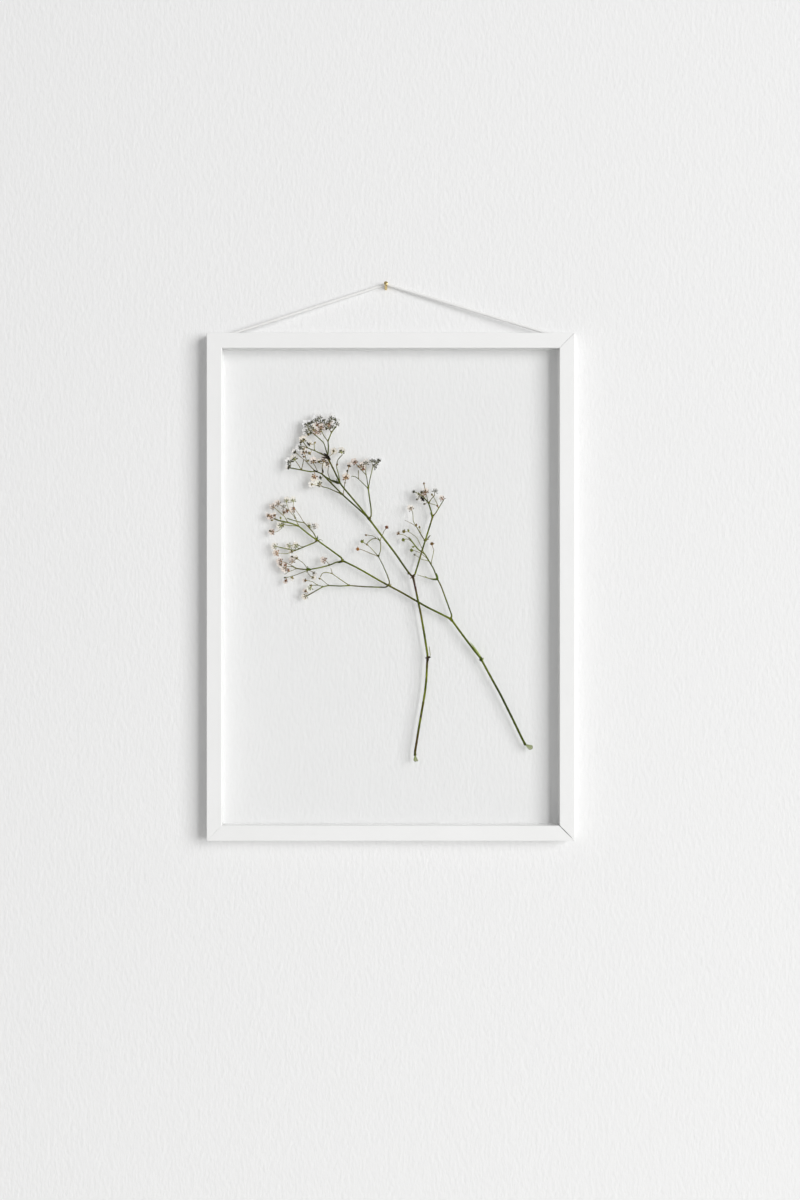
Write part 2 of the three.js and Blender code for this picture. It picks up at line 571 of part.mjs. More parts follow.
function bandPoints() {
  const rounds = bandRounds();
  const leaving = rounds.map((round, i) => leavingAngle(round, rounds[(i + 1) % rounds.length]));
  const points = [];
  rounds.forEach(({ x, y, z, radius }, i) => {
    const arrival = leaving.at(i - 1);
    const turn = THREE.MathUtils.euclideanModulo(leaving[i] - arrival, 2 * Math.PI);
    const steps = Math.ceil(turn / BAND_TURN_STEP);
    for (let step = 0; step <= steps; step += 1) {
      const angle = arrival + turn * step / steps;
      points.push(new THREE.Vector3(x + radius * Math.cos(angle), y, z + radius * Math.sin(angle)));
    }
  });
  const middleOfLastRun = points.at(-1).clone().lerp(points[0], 0.5);
  return [middleOfLastRun, ...points];
}

// A closed ring needs no end faces
function buildBand() {
  const points = bandPoints();
  const ring = new THREE.TubeGeometry(new BandRoute(points), points.length, BAND_RADIUS, BAND_SIDES, true);
  return named('elastic_band', toGeometry(toSolid(ring)), MATERIALS.band);
}

// The nail is turned from its point to its domed head, about its own length
function buildNail() {
  const shank = NAIL_DIAMETER / 2;
  const head = NAIL_HEAD_DIAMETER / 2;
  const underHead = NAIL_OUTSIDE_WALL - NAIL_HEAD_HEIGHT;
  const profile = [
    new THREE.Vector2(0, -NAIL_IN_WALL),
    new THREE.Vector2(shank, NAIL_POINT - NAIL_IN_WALL),
    new THREE.Vector2(shank, underHead),
    new THREE.Vector2(head, underHead + NAIL_HEAD_CONE),
    new THREE.Vector2(head, underHead + NAIL_HEAD_CONE + NAIL_HEAD_RIM),
    new THREE.Vector2(NAIL_DOME_DIAMETER / 2, NAIL_OUTSIDE_WALL - NAIL_DOME_HEIGHT),
    new THREE.Vector2(0, NAIL_OUTSIDE_WALL),
  ];
  const turned = new THREE.LatheGeometry(profile, NAIL_SIDES);
  const nail = named('nail', toGeometry(toSolid(turned)), MATERIALS.nail);
  nail.rotation.x = Math.PI - NAIL_TILT;
  return nail;
}

// A twig's middle line as the outline of a strip that tapers from one width to the other
function stripOutline({ from, to, along }) {
  const points = along.map(([x, z]) => new THREE.Vector2(x, z));
  const left = [];
  const right = [];
  points.forEach((point, i) => {
    const before = points[Math.max(i - 1, 0)];
    const after = points[Math.min(i + 1, points.length - 1)];
    const heading = after.clone().sub(before).normalize();
    const side = new THREE.Vector2(-heading.y, heading.x);
    const half = THREE.MathUtils.lerp(from, to, i / (points.length - 1)) / 2;
    left.push(point.clone().addScaledVector(side, half));
    right.push(point.clone().addScaledVector(side, -half));
  });
  return new THREE.Shape([...right, ...left.reverse()]);
}

// A flower head's lobed outline, with one lobe the way that the flower faces
function headOutline({ lobes, tip, notch, beyond }, calyx, facing) {
  const middle = calyx.clone().addScaledVector(facing, beyond);
  const rim = [];
  for (let i = 0; i < 2 * lobes; i += 1) {
    const radius = i % 2 === 0 ? tip : notch;
    const point = facing.clone().rotateAround(new THREE.Vector2(), i * Math.PI / lobes);
    rim.push(point.multiplyScalar(radius).add(middle));
  }
  return new THREE.Shape(rim);
}

// The point on any of the twigs that is nearest to a calyx, with the twig's heading there
function nearestOnTwigs(twigs, calyx) {
  let nearest = { away: Infinity };
  twigs.forEach(({ along }) => {
    const points = along.map(([x, z]) => new THREE.Vector2(x, z));
    for (let i = 1; i < points.length; i += 1) {
      const step = points[i].clone().sub(points[i - 1]);
      const share = calyx.clone().sub(points[i - 1]).dot(step) / step.lengthSq();
      const point = points[i - 1].clone().addScaledVector(step, THREE.MathUtils.clamp(share, 0, 1));
      const away = point.distanceTo(calyx);
      if (away < nearest.away) {
        nearest = { point, away, heading: step.normalize() };
      }
    }
  });
  return nearest;
}

// The way that a flower faces, of length 1
function facingOf({ point, away, heading }, calyx) {
  const stalk = calyx.clone().sub(point).divideScalar(Math.max(away, FULL_STALK));
  return stalk.addScaledVector(heading, TWIG_SHARE_OF_FACING).normalize();
}

// One branch: its twigs, its heads and a stalk to each head, grown together. Joining leaves points
// along straight edges, which are dropped.
function branchGeometry({ twigs, heads }) {
  const solids = twigs.map((twig) => toSolid(plate(stripOutline(twig), SPRIG_THICKNESS)));
  heads.forEach(([x, z, kind]) => {
    const calyx = new THREE.Vector2(x, z);
    const root = nearestOnTwigs(twigs, calyx);
    if (root.away > (kind.notch - kind.beyond) * STALK_FREE_SHARE) {
      const stalk = { from: STALK_WIDTH, to: STALK_WIDTH, along: [root.point.toArray(), [x, z]] };
      solids.push(toSolid(plate(stripOutline(stalk), SPRIG_THICKNESS)));
    }
    const outline = headOutline(kind, calyx, facingOf(root, calyx));
    solids.push(toSolid(plate(outline, SPRIG_THICKNESS)));
  });
  const joined = solids.reduce((grown, solid) => grown.add(solid));
  return toGeometry(joined.asOriginal().simplify(JOIN_TOLERANCE));
}

function buildSprig(sprig, layerY) {
  return Object.entries(sprig).map(([name, branch]) => {
    const material = branch.heads.length > 0 ? MATERIALS.spray : MATERIALS.stem;
    const mesh = named(name, branchGeometry(branch), material);
    mesh.position.set(FRAME_CENTRE_X, layerY, FRAME_CENTRE_Z);
    return mesh;
  });
}

const frame = new THREE.Group();
frame.add(...buildBars());
frame.add(...buildPanes());
frame.add(buildBand());
frame.add(buildNail());
frame.add(...buildSprig(SPRIG_A, LAYER_Y.a));
frame.add(...buildSprig(SPRIG_B, LAYER_Y.b));

export default frame;
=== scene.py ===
"""Looks of a pressed flower frame that hangs on a wall.

Two dried sprigs of baby's breath lie pressed between two panes of glass. Four mitred bars hold the
panes, and one endless rubber band in the bars' outer groove draws them together and hangs them from a
brass nail. Sizes are in millimetres unless a name says otherwise. +Z is up, +X to the right, and the
origin is where the nail enters the wall, whose face is the plane Y = 0.
"""

import logging
import math
import random
from collections.abc import Iterable, Sequence
from dataclasses import dataclass, field
from enum import Enum

import bmesh
import bpy
from mathutils import Euler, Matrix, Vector


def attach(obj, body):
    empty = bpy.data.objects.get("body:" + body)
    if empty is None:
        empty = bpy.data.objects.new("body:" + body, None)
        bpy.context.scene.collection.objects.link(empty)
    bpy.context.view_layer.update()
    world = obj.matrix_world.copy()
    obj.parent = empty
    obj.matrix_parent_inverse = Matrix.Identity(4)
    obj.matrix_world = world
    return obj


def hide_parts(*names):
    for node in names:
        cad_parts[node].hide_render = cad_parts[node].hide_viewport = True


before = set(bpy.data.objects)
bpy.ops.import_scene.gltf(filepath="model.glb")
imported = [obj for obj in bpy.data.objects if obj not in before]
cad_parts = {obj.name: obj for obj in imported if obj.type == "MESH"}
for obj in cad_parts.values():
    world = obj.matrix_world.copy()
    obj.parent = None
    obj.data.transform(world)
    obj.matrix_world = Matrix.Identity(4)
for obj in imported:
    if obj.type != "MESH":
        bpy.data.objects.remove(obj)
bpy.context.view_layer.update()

log = logging.getLogger("pressed_flower_frame")

METRE = 0.001  # what a millimetre is in metres
BODY = "root"

Point = tuple[float, float]
Colour = tuple[float, float, float]


def linear(hex_colour: str) -> Colour:
    """Turns an sRGB colour into the linear one that a shader wants.

    Args:
        hex_colour: Six hex digits after a #.

    Returns:
        Red, green and blue, each from 0 to 1.
    """
    channels = [int(hex_colour[i : i + 2], 16) / 255 for i in (1, 3, 5)]
    red, green, blue = (
        c / 12.92 if c <= 0.04045 else ((c + 0.055) / 1.055) ** 2.4 for c in channels
    )
    return red, green, blue


def rgba(hex_colour: str) -> tuple[float, float, float, float]:
    """The linear colour of an sRGB hex value with a full alpha, for a colour socket."""
    return (*linear(hex_colour), 1.0)


def mixed(a: Colour, b: Colour, share: float) -> Colour:
    """Colour a moved towards colour b by a share from 0 to 1."""
    return tuple(x + (y - x) * share for x, y in zip(a, b, strict=True))


def deep(y: float) -> Vector:
    """A step towards the wall, or away from it if it is negative."""
    return Vector((0.0, y, 0.0))


def add_node(
    tree: bpy.types.NodeTree,
    kind: str,
    values: dict[str | int, object] | None = None,
    links: dict[str | int, bpy.types.NodeSocket] | None = None,
    **settings: object,
) -> bpy.types.Node:
    """Adds a node with its settings and links.

    Args:
        tree: The node tree that it goes into.
        kind: The node's type name.
        values: Values for its input sockets, by name or number.
        links: Output sockets to link to its inputs, by name or number.
        settings: Properties of the node itself.

    Returns:
        The new node.
    """
    node = tree.nodes.new(kind)
    for name, value in settings.items():
        setattr(node, name, value)
    for socket, value in (values or {}).items():
        node.inputs[socket].default_value = value
    for socket, source in (links or {}).items():
        tree.links.new(source, node.inputs[socket])
    return node


def new_material(name: str) -> tuple[bpy.types.Material, bpy.types.NodeTree, bpy.types.Node]:
    """Makes an empty material.

    Args:
        name: The material's name.

    Returns:
        The material, its node tree and its output node.
    """
    material = bpy.data.materials.new(name)
    material.use_nodes = True
    material.node_tree.nodes.clear()
    output = add_node(material.node_tree, "ShaderNodeOutputMaterial")
    return material, material.node_tree, output


def in_scene(name: str, data: bpy.types.ID) -> bpy.types.Object:
    """Makes an object of a mesh, lamp or camera and puts it in the scene.

    Args:
        name: The object's name.
        data: What it shows.

    Returns:
        The object.
    """
    made = bpy.data.objects.new(name, data)
    bpy.context.scene.collection.objects.link(made)
    return made


def object_place(tree: bpy.types.NodeTree) -> bpy.types.NodeSocket:
    """The point on the surface in metres, which doesn't move with the camera."""
    return add_node(tree, "ShaderNodeTexCoord").outputs["Object"]


def per_millimetre(size_mm: float) -> float:
    """A pattern's scale, where the coordinates are in metres and one repeat is this many millimetres."""
    return 1 / (size_mm * METRE)


def clouded(
    tree: bpy.types.NodeTree, colours: tuple[str, str], size_mm: float, detail: float
) -> bpy.types.NodeSocket:
    """Two colours that blend into one another in clouds.

    Args:
        tree: The material's node tree.
        colours: Both colours.
        size_mm: Size of a cloud.
        detail: How many finer layers of cloud there are.

    Returns:
        The colour at each point.
    """
    clouds = add_node(
        tree,
        "ShaderNodeTexNoise",
        {"Scale": per_millimetre(size_mm), "Detail": detail},
        {"Vector": object_place(tree)},
    )
    sockets = {6: rgba(colours[0]), 7: rgba(colours[1])}
    tint = add_node(tree, "ShaderNodeMix", sockets, {0: clouds.outputs[0]}, data_type="RGBA")
    return tint.outputs[2]


def bumpy_shader(
    tree: bpy.types.NodeTree,
    values: dict[str, object],
    links: dict[str, bpy.types.NodeSocket],
    pattern: bpy.types.NodeSocket,
    height_mm: float,
    strength: float,
) -> bpy.types.Node:
    """Adds a shader whose surface rises and falls with a pattern.

    Args:
        tree: The material's node tree.
        values: Values for the shader's sockets.
        links: Output sockets to link to the shader's sockets.
        pattern: What the surface follows.
        height_mm: How high its crests are.
        strength: How strongly they show, from 0 to 1.

    Returns:
        The shader.
    """
    sockets = {"Strength": strength, "Distance": height_mm * METRE}
    bump = add_node(tree, "ShaderNodeBump", sockets, {"Height": pattern})
    return add_node(tree, "ShaderNodeBsdfPrincipled", values, {**links, "Normal": bump.outputs[0]})


@dataclass(frozen=True)
class PowderCoatedAluminium:
    """Extruded aluminium with a sprayed and baked polyester powder coat.

    The powder melts into a skin with a faint orange peel, so that highlights stay soft and break up.
    """

    colour: str = "#f5f5f5"
    shade: str = "#f0f0ef"
    cloud_mm: float = 38.0
    peel_mm: float = 1.3
    peel_height_mm: float = 0.006
    peel_strength: float = 0.6
    roughness: tuple[float, float] = (0.36, 0.46)
    ior: float = 1.5

    def build(self) -> bpy.types.Material:
        """The material with its nodes."""
        material, tree, output = new_material("aluminium_powder_coated_white")
        tint = clouded(tree, (self.shade, self.colour), self.cloud_mm, 3.0)
        peel = add_node(
            tree,
            "ShaderNodeTexNoise",
            {"Scale": per_millimetre(self.peel_mm), "Detail": 1.5, "Roughness": 0.4},
            {"Vector": object_place(tree)},
        ).outputs[0]
        gloss = {"To Min": self.roughness[0], "To Max": self.roughness[1]}
        uneven = add_node(tree, "ShaderNodeMapRange", gloss, {"Value": peel})
        links = {"Base Color": tint, "Roughness": uneven.outputs[0]}
        coat = bumpy_shader(tree, {"IOR": self.ior}, links, peel, self.peel_height_mm, self.peel_strength)
        tree.links.new(coat.outputs[0], output.inputs["Surface"])
        return material


@dataclass(frozen=True)
class FloatGlass:
    """Clear soda-lime glass, floated flat, cut, and dipped in an anti-reflective coat.

    It is all but invisible from the front and green only where one looks along it. The coat takes its
    reflections to under half of bare glass's, so its IOR is nearer to the coat's than to 1.5. A trace
    of wave from the float bath bends what it still mirrors.
    """

    ior: float = 1.3
    absorbed: str = "#c9f0dc"
    absorption_per_metre: float = 3.0
    wave_mm: float = 60.0
    wave_height_mm: float = 0.01
    wave_strength: float = 0.5

    def build(self) -> bpy.types.Material:
        """The material with its nodes."""
        material, tree, output = new_material("soda_lime_glass_floated_clear")
        wave = add_node(
            tree,
            "ShaderNodeTexNoise",
            {"Scale": per_millimetre(self.wave_mm), "Detail": 1.0},
            {"Vector": object_place(tree)},
        ).outputs[0]
        clear = {
            "Base Color": rgba("#ffffff"),
            "Roughness": 0.0,
            "IOR": self.ior,
            "Transmission Weight": 1.0,
        }
        glass = bumpy_shader(tree, clear, {}, wave, self.wave_height_mm, self.wave_strength)
        green = {"Color": rgba(self.absorbed), "Density": self.absorption_per_metre}
        depth = add_node(tree, "ShaderNodeVolumeAbsorption", green)
        tree.links.new(glass.outputs[0], output.inputs["Surface"])
        tree.links.new(depth.outputs[0], output.inputs["Volume"])
        return material


@dataclass(frozen=True)
class MouldedRubber:
    """Off-white natural rubber, moulded as an endless ring and dusted so that it doesn't stick.

    The dust makes it matt and a little uneven in tone.
    """

    colour: str = "#f4f4f3"
    worn: str = "#e6e5e3"
    worn_mm: float = 9.0
    dust_mm: float = 0.9
    dust_height_mm: float = 0.02
    dust_strength: float = 0.5
    roughness: tuple[float, float] = (0.55, 0.75)
    ior: float = 1.52

    def build(self) -> bpy.types.Material:
        """The material with its nodes."""
        material, tree, output = new_material("natural_rubber_moulded_matt")
        tint = clouded(tree, (self.worn, self.colour), self.worn_mm, 4.0)
        dust = add_node(
            tree,
            "ShaderNodeTexNoise",
            {"Scale": per_millimetre(self.dust_mm), "Detail": 3.0},
            {"Vector": object_place(tree)},
        ).outputs[0]
        gloss = {"To Min": self.roughness[0], "To Max": self.roughness[1]}
        uneven = add_node(tree, "ShaderNodeMapRange", gloss, {"Value": dust})
        links = {"Base Color": tint, "Roughness": uneven.outputs[0]}
        rubber = bumpy_shader(tree, {"IOR": self.ior}, links, dust, self.dust_height_mm, self.dust_strength)
        tree.links.new(rubber.outputs[0], output.inputs["Surface"])
        return material


@dataclass(frozen=True)
class DrawnBrass:
    """Brass wire, drawn, pointed and headed cold, left bare.

    It mirrors warmly along its drawn shank and has begun to brown where it was touched.
    """

    colour: str = "#e6cf97"
    tarnish: str = "#a58a4c"
    tarnish_mm: float = 1.6
    tarnish_range: tuple[float, float] = (0.5, 0.75)
    draw_mm: float = 0.25
    draw_height_mm: float = 0.01
    draw_strength: float = 0.3
    draw_squeeze: float = 0.05
    roughness: tuple[float, float] = (0.12, 0.34)

    def build(self) -> bpy.types.Material:
        """The material with its nodes."""
        material, tree, output = new_material("brass_drawn_bare")
        place = object_place(tree)
        browning = add_node(
            tree,
            "ShaderNodeTexNoise",
            {"Scale": per_millimetre(self.tarnish_mm), "Detail": 5.0},
            {"Vector": place},
        ).outputs[0]
        range_from = {"From Min": self.tarnish_range[0], "From Max": self.tarnish_range[1]}
        share = add_node(tree, "ShaderNodeMapRange", range_from, {"Value": browning})
        sockets = {6: rgba(self.colour), 7: rgba(self.tarnish)}
        tint = add_node(tree, "ShaderNodeMix", sockets, {0: share.outputs[0]}, data_type="RGBA")
        squeezed = {"Scale": (1.0, self.draw_squeeze, 1.0)}
        lines = add_node(tree, "ShaderNodeMapping", squeezed, {"Vector": place})
        drawn = add_node(
            tree,
            "ShaderNodeTexNoise",
            {"Scale": per_millimetre(self.draw_mm), "Detail": 2.0},
            {"Vector": lines.outputs[0]},
        ).outputs[0]
        gloss = {"To Min": self.roughness[0], "To Max": self.roughness[1]}
        uneven = add_node(tree, "ShaderNodeMapRange", gloss, {"Value": browning})
        links = {"Base Color": tint.outputs[2], "Roughness": uneven.outputs[0]}
        metal = {"Metallic": 1.0}
        brass = bumpy_shader(tree, metal, links, drawn, self.draw_height_mm, self.draw_strength)
        tree.links.new(brass.outputs[0], output.inputs["Surface"])
        return material


@dataclass(frozen=True)
class PlantTissue:
    """A part of the plant, pressed and air-dried. Each point of the mesh has its own dye, and a grain
    that runs round the part, along it and from part to part, in millimetres."""

    name: str
    grain_mm: float
    grain_stretch: float
    grain_height_mm: float
    light_and_dark: tuple[float, float]
    roughness: float
    ior: float = 1.45
    alpha: float = 1.0
    specular: float = 0.12
    grain_strength: float = 0.8

    def build(self) -> bpy.types.Material:
        """The material with its nodes."""
        material, tree, output = new_material(self.name)
        dye = add_node(tree, "ShaderNodeAttribute", attribute_name="dye").outputs["Color"]
        grain = add_node(tree, "ShaderNodeAttribute", attribute_name="grain").outputs["Vector"]
        squeezed = {"Scale": (1.0, 1.0 / self.grain_stretch, 1.0)}
        drawn_out = add_node(tree, "ShaderNodeMapping", squeezed, {"Vector": grain})
        fibres = add_node(
            tree,
            "ShaderNodeTexNoise",
            {"Scale": 1 / self.grain_mm, "Detail": 3.0, "Roughness": 0.6},
            {"Vector": drawn_out.outputs[0]},
        ).outputs[0]
        darkest, lightest = self.light_and_dark
        shades = {"From Min": 0.3, "From Max": 0.7, "To Min": darkest, "To Max": lightest}
        shade = add_node(tree, "ShaderNodeMapRange", shades, {"Value": fibres})
        tint = add_node(
            tree,
            "ShaderNodeVectorMath",
            links={0: dye, "Scale": shade.outputs[0]},
            operation="SCALE",
        )
        values = {
            "Roughness": self.roughness,
            "IOR": self.ior,
            "Alpha": self.alpha,
            "Specular IOR Level": self.specular,
        }
        links = {"Base Color": tint.outputs[0]}
        tissue = bumpy_shader(tree, values, links, fibres, self.grain_height_mm, self.grain_strength)
        tree.links.new(tissue.outputs[0], output.inputs["Surface"])
        return material


# Its waxy skin has shrunk into fine ridges along the stem, with lighter crests.
STEM_SKIN = PlantTissue(
    "stem_air_dried_ridged",
    grain_mm=0.22,
    grain_stretch=14.0,
    grain_height_mm=0.05,
    light_and_dark=(0.62, 1.45),
    roughness=0.55,
)
# Papery and dull, darker where it has shrunk most.
CALYX_SKIN = PlantTissue(
    "calyx_pressed_papery",
    grain_mm=0.3,
    grain_stretch=3.0,
    grain_height_mm=0.03,
    light_and_dark=(0.7, 1.3),
    roughness=0.7,
)
# Thin as tissue paper, so that what lies behind it shows faintly, with veins that run along it.
PETAL_SKIN = PlantTissue(
    "petal_pressed_translucent",
    grain_mm=0.28,
    grain_stretch=7.0,
    grain_height_mm=0.02,
    light_and_dark=(0.93, 1.04),
    roughness=0.65,
    alpha=0.68,
)


ON_STEM, ON_CALYX, ON_PETAL = range(3)  # their numbers among a sprig's materials


@dataclass(frozen=True)
class RolledPaint:
    """Wall paint on plaster, put on with a roller, whose nap leaves faint upright stipple."""

    colour: str = "#f0f0f0"
    stipple_mm: float = 2.1
    stipple_stretch: float = 2.3
    stipple_height_mm: float = 0.3
    roughness: float = 0.8
    specular: float = 0.2

    def build(self) -> bpy.types.Material:
        """The material with its nodes, see-through from behind so that it hides nothing there."""
        material, tree, output = new_material("plaster_rolled_white")
        squeezed = {"Scale": (1.0, 1.0, 1 / self.stipple_stretch)}
        upright = add_node(tree, "ShaderNodeMapping", squeezed, {"Vector": object_place(tree)})
        stipple = add_node(
            tree,
            "ShaderNodeTexNoise",
            {"Scale": per_millimetre(self.stipple_mm), "Detail": 3.0, "Roughness": 0.5},
            {"Vector": upright.outputs[0]},
        ).outputs[0]
        values = {
            "Base Color": rgba(self.colour),
            "Roughness": self.roughness,
            "Specular IOR Level": self.specular,
        }
        paint = bumpy_shader(tree, values, {}, stipple, self.stipple_height_mm, 1.0)
        side = add_node(tree, "ShaderNodeNewGeometry")
        clear = add_node(tree, "ShaderNodeBsdfTransparent")
        links = {0: side.outputs["Backfacing"], 1: paint.outputs[0], 2: clear.outputs[0]}
        shown = add_node(tree, "ShaderNodeMixShader", links=links)
        tree.links.new(shown.outputs[0], output.inputs["Surface"])
        return material


@dataclass(frozen=True)
class CloudedSheet:
    """A matt stage surface whose tone varies in clouds."""

    name: str
    colours: tuple[str, str]
    cloud_mm: float
    detail: float
    roughness: float

    def build(self) -> bpy.types.Material:
        """The material with its nodes."""
        material, tree, output = new_material(self.name)
        tint = clouded(tree, self.colours, self.cloud_mm, self.detail)
        values = {"Roughness": self.roughness}
        shader = add_node(tree, "ShaderNodeBsdfPrincipled", values, {"Base Color": tint})
        tree.links.new(shader.outputs[0], output.inputs["Surface"])
        return material


# Poured pale floor, sealed matt, with clouds of tone that a trowel left.
PALE_FLOOR = CloudedSheet("screed_poured_pale", ("#e2e2df", "#ececea"), 260.0, 4.0, 0.6)
# Pressed black felt of a photographer's flag, which takes the room's reflection off the glass.
BLACK_FELT = CloudedSheet("felt_pressed_black", ("#101010", "#1c1c1c"), 12.0, 2.0, 0.95)


@dataclass
class Part:
    """One plant part or rod, as rings of points across a line. Every size is in millimetres.

    Args:
        line: The middles of its rings.
        half_widths: Half of each ring's size across the line, in the plane of the glass.
        half_depths: Half of each ring's size from front to back.
        dyes: Each ring's colour.
        skin: Number of its material among its mesh's materials.
        sides: Points in a ring.
        edge: Colour of its two edges, where they differ from its middle.
        cup: How far its edges stand to the front of its middle.
        ridges: How many ridges run along it.
        ridge_height: How high they are, as a share of its size.
    """

    line: Sequence[Vector]
    half_widths: Sequence[float]
    half_depths: Sequence[float]
    dyes: Sequence[Colour]
    skin: int = 0
    sides: int = 8
    edge: Colour | None = None
    cup: float = 0.0
    ridges: int = 0
    ridge_height: float = 0.0


GRAIN_APART = 7.3  # so that no two parts have the same grain


class Draft:
    """Gathers parts into one mesh, each point with its dye and its place in its part's grain."""

    def __init__(self) -> None:
        """Starts with no parts."""
        self.points: list[Vector] = []
        self.dyes: list[Colour] = []
        self.grains: list[Vector] = []
        self.faces: list[tuple[int, ...]] = []
        self.skins: list[int] = []
        self.parts = 0

    def add_point(self, place: Vector, dye: Colour, grain: Vector) -> int:
        """Adds a point.

        Args:
            place: Where it is.
            dye: Its colour.
            grain: Its place in the grain.

        Returns:
            Its number.
        """
        self.points.append(place)
        self.dyes.append(dye)
        self.grains.append(grain)
        return len(self.points) - 1

    def add_faces(self, faces: Iterable[tuple[int, ...]], skin: int) -> None:
        """Adds faces that share a material.

        Args:
            faces: The numbers of each one's points.
            skin: Number of the material.
        """
        for face in faces:
            self.faces.append(face)
            self.skins.append(skin)

    def add_part(self, part: Part) -> None:
        """Adds a part, closed at both ends.

        Args:
            part: The part to add.
        """
        self.parts += 1
        apart = GRAIN_APART * self.parts
        depth = deep(1.0)
        rings: list[list[int]] = []
        along = 0.0
        for i, middle in enumerate(part.line):
            heading = part.line[min(i + 1, len(part.line) - 1)] - part.line[max(i - 1, 0)]
            across = heading.cross(depth).normalized()
            if i > 0:
                along += (middle - part.line[i - 1]).length
            ring = []
            for k in range(part.sides):
                turn = math.tau * k / part.sides
                cos, sin = math.cos(turn), math.sin(turn)
                swell = 1 + part.ridge_height * math.cos(part.ridges * turn)
                offset = across * (cos * part.half_widths[i] * swell)
                offset += depth * (sin * part.half_depths[i] * swell - part.cup * cos * cos)
                dye = part.dyes[i]
                if part.edge is not None:
                    dye = mixed(dye, part.edge, abs(cos) ** 3)
                grain = Vector((cos * part.half_widths[i], along, sin * part.half_depths[i] + apart))
                ring.append(self.add_point(middle + offset, dye, grain))
            rings.append(ring)
        self.add_faces(
            (
                (a[k], a[(k + 1) % part.sides], b[(k + 1) % part.sides], b[k])
                for a, b in zip(rings, rings[1:])
                for k in range(part.sides)
            ),
            part.skin,
        )
        for ring, i in ((rings[0][::-1], 0), (rings[-1], -1)):
            grain = sum((self.grains[k] for k in ring), Vector()) / part.sides
            middle = sum((self.points[k] for k in ring), Vector()) / part.sides
            tip = self.add_point(middle, part.dyes[i], grain)
            self.add_faces(
                ((ring[k], ring[(k + 1) % part.sides], tip) for k in range(part.sides)), part.skin
            )

    def build(
        self, name: str, materials: Sequence[bpy.types.Material], origin: Vector
    ) -> bpy.types.Object:
        """Makes the object.

        Args:
            name: The piece's name.
            materials: Its materials, in the order of the skins' numbers.
            origin: Where the parts' own origin is in the frame, in millimetres.

        Returns:
            The object, in metres.
        """
        mesh = bpy.data.meshes.new(name)
        mesh.from_pydata([(point + origin) * METRE for point in self.points], [], self.faces)
        for material in materials:
            mesh.materials.append(material)
        mesh.polygons.foreach_set("material_index", self.skins)
        mesh.polygons.foreach_set("use_smooth", [True] * len(self.faces))
        dye = mesh.attributes.new("dye", "FLOAT_COLOR", "POINT")
        dye.data.foreach_set("color", [c for colour in self.dyes for c in (*colour, 1.0)])
        grain = mesh.attributes.new("grain", "FLOAT_VECTOR", "POINT")
        grain.data.foreach_set("vector", [c for place in self.grains for c in place])
        mesh.update()
        face_outwards(mesh)
        return in_scene(name, mesh)


def face_outwards(mesh: bpy.types.Mesh) -> None:
    """Turns every face of a closed mesh to the outside.

    Args:
        mesh: The mesh to mend.
    """
    shell = bmesh.new()
    shell.from_mesh(mesh)
    bmesh.ops.recalc_face_normals(shell, faces=shell.faces)
    shell.to_mesh(mesh)
    shell.free()


def lofted(
    name: str, rings: Sequence[Sequence[Vector]], material: bpy.types.Material, closed: bool
) -> bpy.types.Object:
    """Joins rings of points into a smooth piece.

    Args:
        name: The piece's name.
        rings: The rings, in millimetres, each with as many points.
        material: Its material.
        closed: Whether the last ring joins the first. If it doesn't, both ends are capped.

    Returns:
        The piece.
    """
    shell = bmesh.new()
    loops = [[shell.verts.new(point * METRE) for point in ring] for ring in rings]
    for a, b in zip(loops, loops[1:] + (loops[:1] if closed else [])):
        for k in range(len(a)):
            shell.faces.new((a[k - 1], a[k], b[k], b[k - 1])).smooth = True
    if not closed:
        shell.faces.new(loops[0])
        shell.faces.new(loops[-1]).smooth = True
    bmesh.ops.recalc_face_normals(shell, faces=shell.faces)
    mesh = bpy.data.meshes.new(name)
    shell.to_mesh(mesh)
    shell.free()
    mesh.materials.append(material)
    return in_scene(name, mesh)


@dataclass(frozen=True)
class FrameSize:
    """Where the frame hangs, and the sizes that its parts share."""

    opening: tuple[float, float] = (210.0, 297.0)
    bar_face: float = 9.5
    centre_x: float = 3.0
    nail_above_frame: float = 29.3

    @property
    def width(self) -> float:
        """The frame's outer width."""
        return self.opening[0] + 2 * self.bar_face

    @property
    def height(self) -> float:
        """The frame's outer height."""
        return self.opening[1] + 2 * self.bar_face

    @property
    def left(self) -> float:
        """X of its left edge."""
        return self.centre_x - self.width / 2

    @property
    def right(self) -> float:
        """X of its right edge."""
        return self.centre_x + self.width / 2

    @property
    def top(self) -> float:
        """Z of its top edge."""
        return -self.nail_above_frame

    @property
    def bottom(self) -> float:
        """Z of its bottom edge."""
        return self.top - self.height

    @property
    def middle(self) -> Vector:
        """The middle of its opening, on the wall's plane."""
        return Vector((self.centre_x, 0.0, (self.top + self.bottom) / 2))


FRAME = FrameSize()


